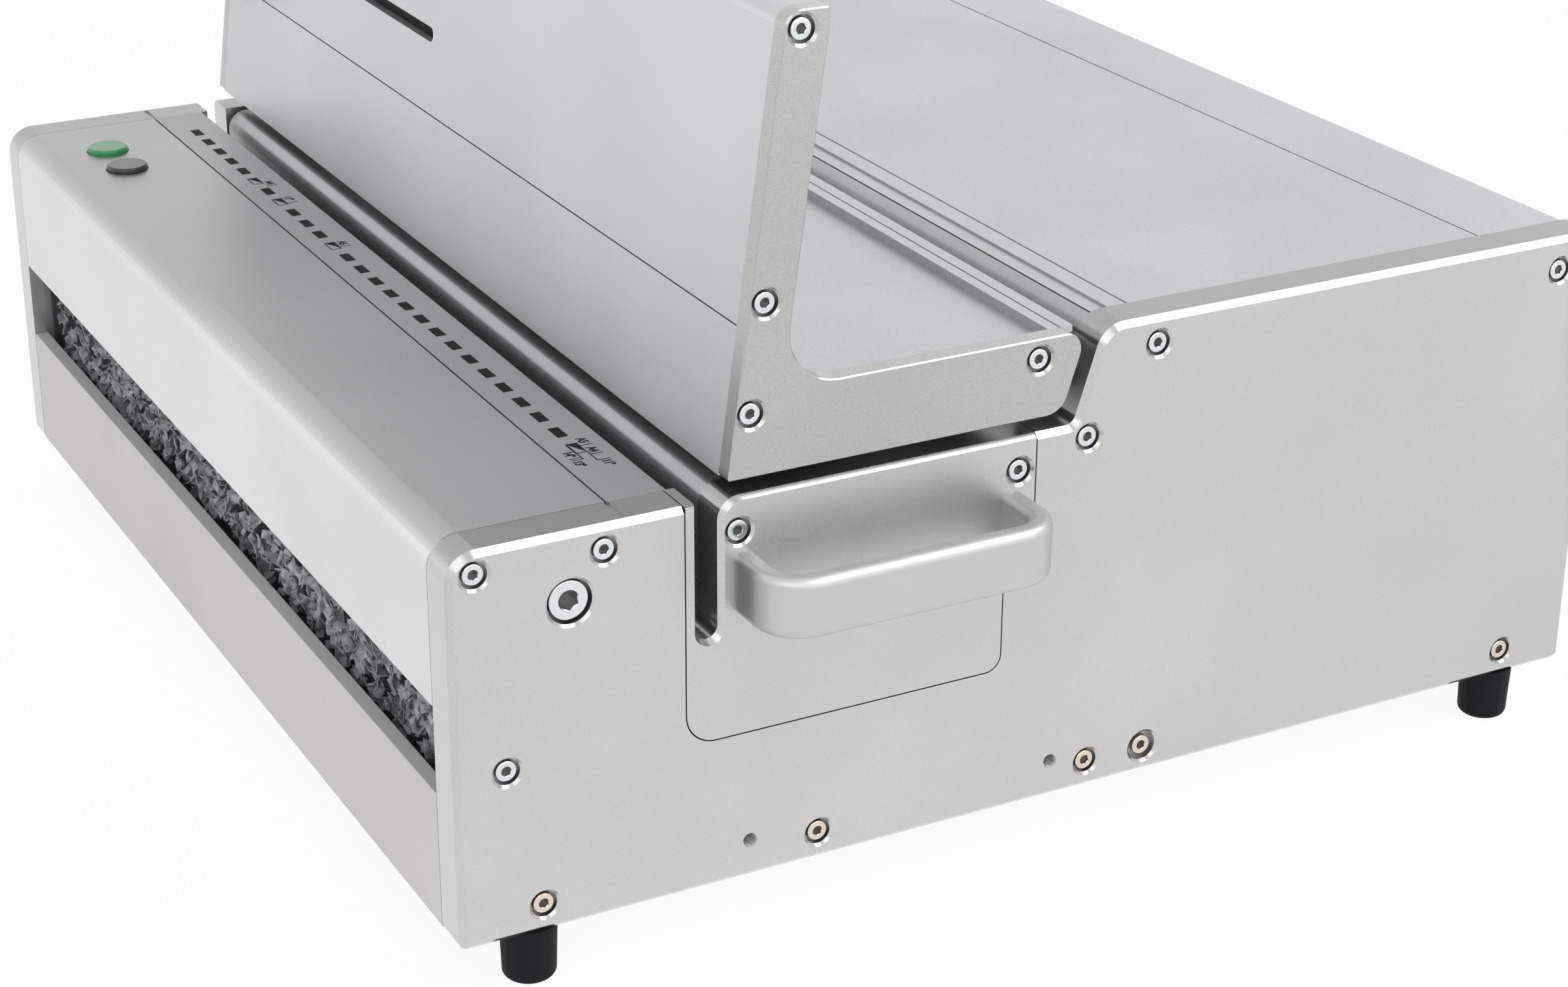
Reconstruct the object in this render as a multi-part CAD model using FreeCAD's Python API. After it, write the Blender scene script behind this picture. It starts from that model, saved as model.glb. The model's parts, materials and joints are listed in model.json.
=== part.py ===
import FreeCAD, Part
import math
import os

# Electric hole punch, in millimetres.
# The part's frame: X runs along the machine, Y from front to back, Z up, and the
# origin is the bottom centre of its bounding box. Places in the side view are given
# as a distance back from the end plates' front edges ("u") and a height above the
# end plates' bottom edges ("v").

# ---------------------------------------------------------------- driving dimensions
# Whole machine
body_width = 470.2
body_depth = 432.2
front_height = 133.0
rise_height = 32.0
rear_height = front_height + rise_height
foot_height = 19.5

# End plates
plate_thickness = 15.0
plate_chamfer = 2.0
plate_front_corner = 10.0
plate_bottom_corner = 3.0
plate_rear_corner = 8.0
rise_u = 215.7
rise_run = 10.3
rise_fillet = 4.0
rise_corner = 10.0

# Bay in the right end plate for the die cassette
bay_front_u = 76.8
bay_floor_v = 52.0
bay_to_rise = 14.2
bay_step_width = 10.7
bay_step_v = front_height - 38.0
bay_front_corner = 10.5
bay_rear_corner = 6.0
bay_step_corner = 4.0
bay_clearance = 0.3
plate_joint = 0.45
end_joint = 0.25

# Throat that the paper stands in
throat_front_u = 80.7
throat_gap = 8.0
throat_floor_v = 87.0
throat_chamfer = 1.8

# Fasteners
m4_radius = 2.0
m4_hole_radius = 2.25
m4_head_radius = 3.5
m4_head_height = 4.0
m4_hex = 3.0
m4_bore_radius = 4.4
m4_bore_depth = 5.0
m4_length = 24.0
rail_screw_length = 16.0
m8_radius = 4.0
m8_hole_radius = 4.5
m8_head_radius = 6.5
m8_head_height = 8.0
m8_hex = 6.0
m8_bore_radius = 7.4
m8_bore_depth = 9.5
m8_length = 30.0
bore_mouth = 0.9
hex_depth_share = 0.5
deep_bore_radius = 5.3
accessory_hole_radius = 2.5
accessory_hole_depth = 12.0

# Places of the end plates' holes, as (u, v)
cover_screw_front = (8.9, front_height - 7.7)
cover_screw_rear = (50.8, front_height - 8.4)
rail_screw = (17.2, 58.4)
floor_screw_front = (28.1, 9.5)
floor_screw_middle = (124.0, 9.5)
floor_screw_back = (226.0, 9.5)
floor_screw_earth = (248.8, 9.5)
floor_screw_rear = (body_depth - 28.2, 9.5)
fairing_screw = (rise_u + 5.3, front_height - 5.1)
rear_cover_screw = (rise_u + 30.7, rear_height - 9.4)
hood_screw = (body_depth - 20.2, rear_height - 12.0)
tie_bar_place = (39.2, front_height - 22.8)
accessory_front = (99.1, 13.3)
accessory_pitch = 112.3

# Front cover, scale strip and buttons
cover_wall = 3.0
window_top_v = 78.0
boss_radius = 4.2
boss_web = 8.0
strip_front_u = 58.3
strip_rear_u = 78.0
strip_joint = 0.7
strip_thickness = 3.0
groove_width = 1.6
groove_depth = 0.8
groove_run = 12.0
button_radius = 8.0
button_clearance = 0.3
button_proud = 2.0
button_height = 8.5
button_travel = 1.8
button_u = 28.0
button_from_left = 34.0
button_pitch = 26.0
button_floor = 2.5
button_side = 4.0

# Chip drawer
drawer_gap = 0.5
drawer_front_thickness = 5.1
drawer_front_top_v = 48.0
drawer_front_bottom_v = 1.0
drawer_front_corner = 1.0
drawer_front_edge = 0.4
window_thickness = 3.0
window_bottom_v = 16.0
window_gap = 0.6
bin_wall = 2.0
bin_lip_drop = 7.0
bin_bottom_v = 16.0
bin_top_v = 76.0
bin_rear_u = 73.0
rail_width = 8.0
rail_height = 8.0
rail_front_u = 13.0
rail_rear_u = 70.0
bin_side_gap = 1.0
flange_thickness = 2.0
slide_clearance = 0.3
heap_gap = 0.3
heap_back_v = 26.0
heap_crest_u = 22.0

# Floor, walls and feet
floor_front_u = 23.0
floor_setback = 8.2
floor_bottom_v = 4.5
floor_thickness = 10.0
foot_radius = 9.3
foot_tip_radius = 8.6
foot_round = 2.6
foot_inset = 9.5
foot_u = 26.1
foot_screw_bore = 4.0
foot_screw_sink = 8.0
foot_screw_length = 17.5
tie_bar_radius = 10.0
guide_wall_thickness = 2.0
guide_wall_gap = 0.3
chute_top_v = 88.0
chute_reach = 8.0
chute_drop = 9.0

# Rear covers
fairing_wall = 3.0
fairing_top_run = 3.0
fairing_foot_v = front_height - 12.0
fairing_foot_reach = 13.7
fairing_boss_depth = 10.8
cover_joint = 0.6
cover_plate = 3.5
cover_step = 0.8
cover_step_run = 6.7
cover_groove_run = 13.6
cover_groove_width = 0.8
cover_groove_depth = 0.6
hood_length = 45.2
hood_wall = 3.0
hood_recess = 2.7
hood_bottom_v = 16.0

# Die cassette
cassette_proud = 0.5
cassette_far_gap = 3.0
far_plate_thickness = 8.0
cassette_back_u = 117.0
die_top_v = front_height - 3.4
base_thickness = 8.0
guide_thickness = 14.0
guide_top_v = front_height - 13.0
lip_top_v = front_height - 0.7
lip_corner = 7.5
lip_wall = 2.0
cover_bar_width = 11.2
cover_bar_bottom_v = front_height - 17.0
cassette_chamfer = 1.3
hole_pitch = 14.2875
hole_count = 25
hole_to_plate = 56.5
pin_width = 8.0
pin_height = 2.9
pin_clearance = 0.05
pin_v = 93.0
pin_rest_gap = 0.5
pin_bar_front_u = 118.0
pin_bar_depth = 12.0
pin_bar_height = 20.0
pin_seat = 6.0
rail_neck_height = 8.0
rail_neck_depth = 6.0
rail_head_height = 16.0
rail_head_depth = 6.0
rail_play = 0.5
die_screw_front = (95.4, front_height - 11.6)
die_screw_rear = (rise_u - bay_to_rise - 6.2, front_height - 11.6)

# Bow handle on the cassette
handle_reach = 29.5
handle_rear_inset = 5.1
handle_front_u = 92.4
handle_v = front_height - 27.9
handle_height = 20.0
handle_thickness = 8.0
handle_bend = 16.0
handle_round = 3.0
handle_screw_radius = 2.5
handle_screw_head_radius = 4.25
handle_screw_head_height = 5.0
handle_screw_hex = 4.0
handle_screw_length = 20.0
handle_bore_radius = 4.6
handle_bore_depth = 6.0

# Bed that carries the cassette, and the ram behind it
bed_front_u = 80.0
bed_rear_u = 190.0
bed_thickness = 12.0
bed_rib_thickness = 12.0
bed_rib_count = 3
ram_gap = 1.0
ram_depth = 30.0
ram_bottom_v = 68.0
ram_top_v = 112.0
ram_tongue_front_u = 150.0
ram_tongue_rear_u = 185.0
ram_tongue_height = 26.0
ram_tongue_reach = 5.7
guide_block_width = 11.5
guide_block_front_u = 144.0
guide_block_rear_u = 190.0
guide_block_top_v = 115.0
guide_groove_depth = 6.0
running_clearance = 0.3

# Drive
shaft_u = 236.0
shaft_v = 82.0
shaft_radius = 9.0
shaft_clearance = 0.05
stroke = 13.0
eccentric_radius = 16.0
eccentric_width = 14.0
yoke_thickness = 12.0
yoke_inset = 60.0
yoke_play = 1.6
yoke_rise_play = 0.5
yoke_margin = 8.0
bearing_radius = 15.0
bearing_width = 9.0
block_thickness = 12.0
block_inset = 34.0
block_half_width = 24.0
block_head = 22.0
gear_module = 1.5
gear_teeth = 48
pinion_teeth = 16
gear_width = 10.0
gear_inset = 14.0
tooth_backlash = 0.25
pinion_shaft_radius = 4.0
gearbox_lead = 14.0
gearbox_inset = 46.0
gearbox_length = 60.0
gearbox_depth = 76.0
gearbox_height = 72.0
gearbox_drop = 36.0
motor_radius = 35.0
motor_length = 150.0
motor_cap = 6.0
motor_fin_count = 24
motor_fin_depth = 2.5
mount_thickness = 16.0

# Electrics
board_length = 110.0
board_width = 70.0
board_thickness = 1.6
board_from_left = 250.0
board_setback = 87.2
board_lift = 10.0
component_heights = (15.0, 4.0, 12.0, 10.0)
standoff_radius = 3.0
transformer_length = 64.0
transformer_width = 52.0
transformer_height = 46.0
transformer_from_left = 290.0
transformer_gap = 5.0
core_side_inset = 8.0
coil_end_inset = 11.0
coil_rise_inset = 9.0
panel_v = 46.0
inlet_from_left = 60.0
inlet_size = (27.4, 19.8)
inlet_flange = (34.0, 26.0, 1.4)
inlet_depth = 22.0
inlet_wall = 2.2
inlet_pin_size = (4.0, 2.0, 14.0)
inlet_pin_pitch = 7.0
rocker_from_left = 112.0
rocker_size = (21.0, 15.0)
rocker_frame = 2.0
rocker_depth = 14.0
rocker_lean_deg = 8.0
rocker_clearance = 0.3
socket_from_left = 156.0
socket_radius = 8.0
socket_bore_radius = 3.2
socket_depth = 18.0
socket_flange_radius = 10.5

# Paper support
support_front_u = 91.5
support_gap = 5.3
support_lean_deg = 7.72
support_top_v = rear_height + 115.3
support_leg = 14.9
support_plate = 6.5
support_edge = 0.4
support_front_corner = 6.0
support_back_corner = 2.0
support_inner_corner = 17.0
support_past_rise = 3.2
support_rear_corner = 6.0
support_heel_corner = 8.0
parting_v = rear_height + 20.3
parting_gap = 0.5
face_wall = 3.0
back_wall = 2.0
shelf_v = rear_height - 3.2
shelf_thickness = 3.0
rim_from_rear = 11.1
rim_thickness = 2.4
rim_inset = 1.9
rim_groove_from_rear = 6.8
rim_groove_width = 0.7
rim_groove_depth = 0.6
web_thickness = 2.3
web_bottom_v = rear_height - 15.0
support_rear_screw_inset = 17.5
support_screws = (
    (115.9, rear_height + 109.4), (104.4, rear_height + 28.1), (99.5, rear_height - 6.4),
    (rise_u + support_past_rise - support_rear_screw_inset, rear_height - 7.1),
)
support_screw_length = 14.0
hinge_from_rear = 6.7
hinge_v = rear_height - 7.0
hinge_pin_radius = 2.0
hinge_fit = 0.04
hinge_eye_radius = 3.8
hinge_arm = 4.0
hinge_arm_lead = 2.5
hinge_arm_drop = 15.0
hinge_foot_height = 4.0
rim_web_slant = 2.2
bracket_inset = 4.0
bracket_width = 8.0
pin_bite = 4.0
slot_v = rear_height + 48.0
slot_height = 5.2
slot_right_inset = 249.5
slot_left_inset = 14.0
guide_width = 12.0
guide_reach = 14.0
guide_rise = 60.0
guide_from_left = 9.0
guide_slot_play = 0.3
guide_face_gap = 0.3
clamp_thickness = 3.0
clamp_margin = 4.0

# ------------------------------------------------------------------ derived places
x_left = -(body_width + handle_reach) / 2
x_right = x_left + body_width
inner_left = x_left + plate_thickness
inner_right = x_right - plate_thickness
y_front = -body_depth / 2
throat_rear_u = throat_front_u + throat_gap
bay_rear_u = rise_u - bay_to_rise
bay_low_rear_u = bay_rear_u - bay_step_width
fairing_top_rear_u = rise_u + rise_run + fairing_top_run
fairing_foot_front_u = rise_u - fairing_foot_reach
cover_step_u = fairing_top_rear_u + cover_step_run
cover_groove_u = fairing_top_rear_u + cover_groove_run
hood_front_u = body_depth - hood_length
floor_rear_u = body_depth - floor_setback
cover_bar_front_u = bay_rear_u - bay_clearance - cover_bar_width
handle_span = bay_rear_u - handle_rear_inset - handle_front_u
support_rear_u = rise_u + support_past_rise
rim_u = support_rear_u - rim_from_rear
rim_rear_u = support_rear_u - rim_inset
rim_groove_u = support_rear_u - rim_groove_from_rear
hinge_u = support_rear_u - hinge_from_rear
board_u = body_depth - board_setback
transformer_u = board_u - transformer_gap - transformer_width
cassette_front_u = bay_front_u + bay_clearance
cassette_bottom_v = bay_floor_v + bay_clearance
cassette_left = inner_left + cassette_far_gap
pin_bar_rear_u = pin_bar_front_u + pin_bar_depth
rail_neck_rear_u = pin_bar_rear_u + rail_neck_depth
ram_front_u = pin_bar_rear_u + ram_gap
ram_rear_u = ram_front_u + ram_depth
floor_top_v = floor_bottom_v + floor_thickness
bed_bottom_v = bay_floor_v - bed_thickness
support_bottom_v = front_height + support_gap
support_slope = math.tan(math.radians(support_lean_deg))
rise_slope = rise_run / (rear_height - front_height)
gear_radius = gear_module * gear_teeth / 2
pinion_radius = gear_module * pinion_teeth / 2
pinion_u = shaft_u + gear_radius + pinion_radius
first_hole_x = x_right - hole_to_plate
bin_front_u = drawer_front_thickness + window_gap + window_thickness + window_gap
ALONG_X = FreeCAD.Vector(1, 0, 0)
ALONG_Y = FreeCAD.Vector(0, 1, 0)
ALONG_Z = FreeCAD.Vector(0, 0, 1)


# ------------------------------------------------------------------- shape helpers
def at(u, v, x=0.0):
    """Point at u behind the front edges and v above the bottom edges."""
    return FreeCAD.Vector(x, y_front + u, foot_height + v)


def block(x0, x1, u0, u1, v0, v1):
    """Box between two corners."""
    return Part.makeBox(x1 - x0, u1 - u0, v1 - v0, at(u0, v0, x0))


def rod_x(x0, x1, place, radius):
    """Cylinder along X from x0 to x1 about (u, v)."""
    return Part.makeCylinder(radius, x1 - x0, at(place[0], place[1], x0), ALONG_X)


def rounded_wire(corners):
    """Closed wire in the side view; each corner is (u, v) or (u, v, radius)."""
    points = [at(corner[0], corner[1]) for corner in corners]
    radii = [corner[2] if len(corner) > 2 else 0.0 for corner in corners]
    count = len(points)
    starts, ends, middles = [], [], []
    for i, point in enumerate(points):
        back = (points[i - 1] - point).normalize()
        ahead = (points[(i + 1) % count] - point).normalize()
        if radii[i] <= 0:
            starts.append(point)
            ends.append(point)
            middles.append(None)
            continue
        half = back.getAngle(ahead) / 2
        tangent = radii[i] / math.tan(half)
        bisector = (back + ahead).normalize()
        middles.append(point + bisector * (radii[i] / math.sin(half) - radii[i]))
        starts.append(point + back * tangent)
        ends.append(point + ahead * tangent)
    edges = []
    for i in range(count):
        if middles[i] is not None:
            edges.append(Part.Arc(starts[i], middles[i], ends[i]).toShape())
        following = starts[(i + 1) % count]
        if ends[i].distanceToPoint(following) > 1e-6:
            edges.append(Part.makeLine(ends[i], following))
    return Part.Wire(edges)


def profile(corners, x0, x1):
    """Solid between x0 and x1 whose side view has the given corners."""
    wire = rounded_wire(corners)
    wire.translate(FreeCAD.Vector(x0, 0, 0))
    return Part.Face(wire).extrude(FreeCAD.Vector(x1 - x0, 0, 0))


def rectangle(u0, u1, v0, v1, radius=0.0):
    """Corners of a rectangle in the side view."""
    return [(u0, v0, radius), (u0, v1, radius), (u1, v1, radius), (u1, v0, radius)]


def fuse(shapes):
    """One solid from shapes that touch."""
    return shapes[0].multiFuse(shapes[1:]).removeSplitter()


def cut(shape, tools):
    """Shape less every tool."""
    return shape.cut(Part.makeCompound(tools)) if tools else shape


def solids_of(shape):
    """Solids of a shape, as one compound when there are several."""
    found = shape.Solids
    return found[0] if len(found) == 1 else Part.makeCompound(found)


def chamfer_rim(shape, size, x_face, wanted):
    """Chamfer the edges of the face at x_face whose middle passes the test."""
    edges = []
    for edge in shape.Edges:
        box = edge.BoundBox
        middle = edge.valueAt((edge.FirstParameter + edge.LastParameter) / 2)
        flat = box.XMax - box.XMin < 1e-6 and abs(box.XMin - x_face) < 1e-6
        if flat and wanted(middle.y - y_front, middle.z - foot_height):
            edges.append(edge)
    return shape.makeChamfer(size, edges) if edges else shape


def mirror_x(shape, x_plane=(x_left + x_right) / 2):
    """Mirror image across the machine's middle."""
    return shape.mirror(FreeCAD.Vector(x_plane, 0, 0), ALONG_X)


# ------------------------------------------------------------------------ fasteners
def screw_bore(place, x_face, bore_radius, bore_depth, hole_radius, depth, inward=-1):
    """Counterbored and chamfered hole in a face that looks along X."""
    u, v = place
    direction = ALONG_X * inward
    start = at(u, v, x_face)
    sink = Part.makeCylinder(bore_radius, bore_depth, start, direction)
    mouth = Part.makeCone(bore_radius + bore_mouth, bore_radius, bore_mouth, start, direction)
    hole = Part.makeCylinder(hole_radius, depth, start, direction)
    return fuse([sink, mouth, hole])


def cap_screw(place, x_seat, radius, head_radius, head_height, hex_size, length, inward=-1):
    """Socket head screw whose head stands out from x_seat."""
    u, v = place
    seat = at(u, v, x_seat)
    head = Part.makeCylinder(head_radius, head_height, seat, ALONG_X * -inward)
    shank = Part.makeCylinder(radius, length, seat, ALONG_X * inward)
    top = at(u, v, x_seat - inward * head_height)
    flat_to_corner = hex_size / 2 / math.cos(math.pi / 6)
    corners = [
        top + FreeCAD.Vector(0, math.cos(k * math.pi / 3), math.sin(k * math.pi / 3)) * flat_to_corner
        for k in range(7)
    ]
    socket = Part.Face(Part.makePolygon(corners)).extrude(ALONG_X * (inward * head_height * hex_depth_share))
    return fuse([head, shank]).cut(socket)


def m4_bore(place, x_face, inward=-1, depth=plate_thickness, bore=m4_bore_radius):
    """Counterbored hole for an M4 cap screw."""
    return screw_bore(place, x_face, bore, m4_bore_depth, m4_hole_radius, depth, inward)


def m4_screw(place, x_face, inward=-1, length=m4_length):
    """M4 cap screw seated in its counterbore."""
    seat = x_face + inward * m4_bore_depth
    return cap_screw(place, seat, m4_radius, m4_head_radius, m4_head_height, m4_hex, length, inward)


def m4_tapped(place, x_face, inward=-1, length=m4_length):
    """Tapped hole that takes the part of an M4 screw past an end plate."""
    depth = m4_bore_depth + length - plate_thickness
    return Part.makeCylinder(m4_radius, depth, at(place[0], place[1], x_face), ALONG_X * inward)


# ----------------------------------------------------------------------- end plates
plate_screw_places = (
    cover_screw_front, cover_screw_rear, rail_screw, floor_screw_front, floor_screw_middle,
    floor_screw_back, floor_screw_rear, fairing_screw, rear_cover_screw, hood_screw,
)


def plate_outline(with_bay):
    """Side view of an end plate."""
    bay = [
        (bay_front_u, front_height),
        (bay_front_u, bay_floor_v, bay_front_corner),
        (bay_low_rear_u, bay_floor_v, bay_rear_corner),
        (bay_low_rear_u, bay_step_v, bay_step_corner),
        (bay_rear_u, bay_step_v, bay_step_corner),
        (bay_rear_u, front_height),
    ]
    return [
        (0, 0, plate_bottom_corner),
        (0, front_height, plate_front_corner),
        *(bay if with_bay else []),
        (rise_u, front_height, rise_fillet),
        (rise_u + rise_run, rear_height, rise_corner),
        (body_depth, rear_height, plate_rear_corner),
        (body_depth, 0, plate_bottom_corner),
    ]


def on_outer_rim(u, v):
    """True for the plate's outer edges that carry the wide chamfer."""
    in_bay = bay_front_u - 0.01 <= u <= bay_rear_u + 0.01 and v < front_height - 0.01
    on_bottom = v < 0.01 and 0 < u < body_depth
    return not in_bay and not on_bottom


def end_plate_blank(with_bay):
    """Right-hand end plate with its chamfer, screw bores and inlaid groove."""
    plate = profile(plate_outline(with_bay), inner_right, x_right)
    plate = chamfer_rim(plate, plate_chamfer, x_right, on_outer_rim)
    bores = [m4_bore(place, x_right) for place in plate_screw_places]
    bores.append(m4_bore(floor_screw_earth, x_right, bore=deep_bore_radius))
    bores.append(screw_bore(tie_bar_place, x_right, m8_bore_radius, m8_bore_depth, m8_hole_radius, plate_thickness))
    for u in (foot_u, body_depth - foot_u):
        tapped = foot_screw_length - (foot_height - foot_screw_sink)
        bores.append(Part.makeCylinder(m4_radius, tapped, at(u, 0, x_right - foot_inset), ALONG_Z))
    groove_u = strip_front_u - strip_joint / 2
    bores.append(block(
        inner_right, inner_right + groove_run, groove_u - groove_width / 2, groove_u + groove_width / 2,
        front_height - groove_depth, front_height,
    ))
    return plate.cut(Part.makeCompound(bores))


def throat_cutter(x0, x1):
    """Round-bottomed slot that the paper stands in."""
    corner = throat_gap / 2 - 0.01
    top = front_height + plate_chamfer
    return profile([
        (throat_front_u, top), (throat_front_u, throat_floor_v, corner),
        (throat_rear_u, throat_floor_v, corner), (throat_rear_u, top),
    ], x0, x1)


def end_plates():
    """The two end plates."""
    right = end_plate_blank(True)
    front = accessory_front
    for place in (front, (front[0] + accessory_pitch, front[1])):
        hole = Part.makeCylinder(accessory_hole_radius, accessory_hole_depth, at(place[0], place[1], x_right), ALONG_X * -1)
        right = right.cut(hole)
    left = mirror_x(end_plate_blank(False)).cut(throat_cutter(x_left, inner_left))
    return {"right_end_plate": right, "left_end_plate": left}


def plate_fasteners():
    """Cap screws of both end plates and the bolts of the tie bar."""
    lengths = {rail_screw: rail_screw_length}
    screws = [m4_screw(place, x_right, length=lengths.get(place, m4_length)) for place in plate_screw_places]
    screws.append(m4_screw(floor_screw_earth, x_right))
    bolt = cap_screw(
        tie_bar_place, x_right - m8_bore_depth, m8_radius, m8_head_radius, m8_head_height, m8_hex, m8_length,
    )
    return {
        "end_plate_screws": Part.makeCompound(screws + [mirror_x(screw) for screw in screws]),
        "tie_bar_bolts": Part.makeCompound([bolt, mirror_x(bolt)]),
    }


# ------------------------------------------------------------ frame between the plates
def with_tapped_ends(shape, places):
    """Shape with tapped holes for the end plates' screws at both ends."""
    holes = []
    for place in places:
        hole = m4_tapped(place, inner_right)
        holes += [hole, mirror_x(hole)]
    return cut(shape, holes)


def frame_parts():
    """Floor, tie bar, bed, ribs, drawer rails, guide wall and feet."""
    floor = block(inner_left, inner_right, floor_front_u, floor_rear_u, floor_bottom_v, floor_top_v)
    floor = with_tapped_ends(floor, (
        floor_screw_front, floor_screw_middle, floor_screw_back, floor_screw_earth, floor_screw_rear,
    ))
    bar = rod_x(inner_left, inner_right, tie_bar_place, tie_bar_radius)
    tapped = m8_bore_depth + m8_length - plate_thickness
    end = rod_x(inner_right - tapped, inner_right, tie_bar_place, m8_radius)
    bar = cut(bar, [end, mirror_x(end)])
    bed = block(inner_left, inner_right, bed_front_u, bed_rear_u, bed_bottom_v, bay_floor_v)
    rib_pitch = (inner_right - inner_left - bed_rib_thickness) / (bed_rib_count - 1)
    ribs = []
    for k in range(bed_rib_count):
        x0 = inner_left + k * rib_pitch
        ribs.append(block(x0, x0 + bed_rib_thickness, bed_front_u, bed_rear_u, floor_top_v, bed_bottom_v))
    rail_v0 = rail_screw[1] - rail_height / 2
    rail = block(inner_right - rail_width, inner_right, rail_front_u, rail_rear_u, rail_v0, rail_v0 + rail_height)
    rail = rail.cut(m4_tapped(rail_screw, inner_right, length=rail_screw_length))
    wall_rear = bay_front_u - guide_wall_gap
    wall_front = wall_rear - guide_wall_thickness
    tip_u = wall_front - chute_reach + guide_wall_thickness
    wall = profile([
        (wall_front, floor_top_v), (wall_front, chute_top_v - chute_drop / 2),
        (tip_u, chute_top_v - chute_drop), (tip_u, chute_top_v - chute_drop + guide_wall_thickness),
        (wall_front, chute_top_v), (wall_rear, chute_top_v), (wall_rear, floor_top_v),
    ], inner_left, inner_right)
    return {
        "bottom_plate": floor,
        "front_tie_bar": bar,
        "cassette_bed": fuse([bed, *ribs]),
        "drawer_rails": Part.makeCompound([rail, mirror_x(rail)]),
        "chip_guide_wall": wall,
    }


def feet():
    """Rubber feet and the screws that hold them."""
    rubber, screws = [], []
    for x in (x_left + foot_inset, x_right - foot_inset):
        for u in (foot_u, body_depth - foot_u):
            foot = Part.makeCone(foot_tip_radius, foot_radius, foot_height, at(u, -foot_height, x), ALONG_Z)
            rim = [e for e in foot.Edges if e.BoundBox.ZMax < 1e-6 and len(e.Vertexes) == 1]
            foot = foot.makeFillet(foot_round, rim)
            sink = Part.makeCylinder(foot_screw_bore, foot_screw_sink, at(u, -foot_height, x), ALONG_Z)
            hole = Part.makeCylinder(m4_radius, foot_height, at(u, -foot_height, x), ALONG_Z)
            rubber.append(cut(foot, [sink, hole]))
            seat = at(u, foot_screw_sink - foot_height, x)
            head = Part.makeCylinder(m4_head_radius, m4_head_height, seat, ALONG_Z * -1)
            shank = Part.makeCylinder(m4_radius, foot_screw_length, seat, ALONG_Z)
            screws.append(fuse([head, shank]))
    return {"rubber_feet": Part.makeCompound(rubber), "foot_screws": Part.makeCompound(screws)}


# --------------------------------------------------------------------- front cover
def button_places():
    """X of the start and the reverse button."""
    first = inner_left + button_from_left
    return first, first + button_pitch


def button_hole(x, v0, v1, radius):
    """Upright cylinder about a button's axis."""
    return Part.makeCylinder(radius, v1 - v0, at(button_u, v0, x), ALONG_Z)


def front_parts():
    """Front cover, scale strip, button housing and the two buttons."""
    inner = plate_front_corner - cover_wall
    top_rear = strip_front_u - strip_joint
    under = front_height - cover_wall
    ledge_rear = bay_front_u - bay_clearance
    ledge_front = cover_screw_rear[0] - boss_web / 2
    ledge_top = front_height - strip_thickness
    shell = profile([
        (0, window_top_v), (0, front_height, plate_front_corner), (top_rear, front_height),
        (top_rear, under), (cover_wall, under, inner), (cover_wall, window_top_v),
    ], inner_left + end_joint, inner_right - end_joint)
    ledge = block(inner_left, inner_right, ledge_front, ledge_rear, ledge_top - cover_wall, ledge_top)
    front_u, front_v = cover_screw_front
    rear_u, rear_v = cover_screw_rear
    bosses = [
        block(inner_left, inner_right, cover_wall / 2, front_u + boss_radius, front_v - boss_radius, under + cover_wall / 2),
        block(inner_left, inner_right, ledge_front, rear_u + boss_web / 2, rear_v - boss_radius, under + cover_wall / 2),
    ]
    rounding = profile([
        (0, window_top_v), (0, front_height, plate_front_corner), (body_depth, front_height), (body_depth, window_top_v),
    ], inner_left, inner_right)
    cover = fuse([shell, ledge, *bosses]).common(rounding)
    cover = with_tapped_ends(cover, (cover_screw_front, cover_screw_rear))
    strip = block(inner_left, inner_right, strip_front_u, strip_rear_u, ledge_top, front_height)
    reach = button_radius + button_clearance
    xs = button_places()
    wells = [button_hole(x, ledge_top - cover_wall, front_height, reach) for x in xs]
    cover = cut(cover, wells)
    button_bottom = front_height + button_proud - button_height
    well_floor = button_bottom - button_travel - running_clearance
    housing = block(
        xs[0] - reach - button_side, xs[1] + reach + button_side,
        button_u - reach - button_side, button_u + reach + button_side, well_floor - button_floor, under,
    )
    housing = cut(housing, [button_hole(x, well_floor, under, reach) for x in xs])
    housing = housing.cut(rod_x(inner_left, inner_right, tie_bar_place, tie_bar_radius + running_clearance))
    housing = housing.cut(cover)
    buttons = []
    for x in xs:
        button = button_hole(x, button_bottom, front_height + button_proud, button_radius)
        rim = [e for e in button.Edges if e.BoundBox.ZMin > button.BoundBox.ZMax - 1e-6]
        buttons.append(button.makeFillet(button_proud / 2, rim))
    return {
        "front_cover": cover, "scale_strip": strip, "button_housing": housing,
        "start_button": buttons[0], "reverse_button": buttons[1],
    }


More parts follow.
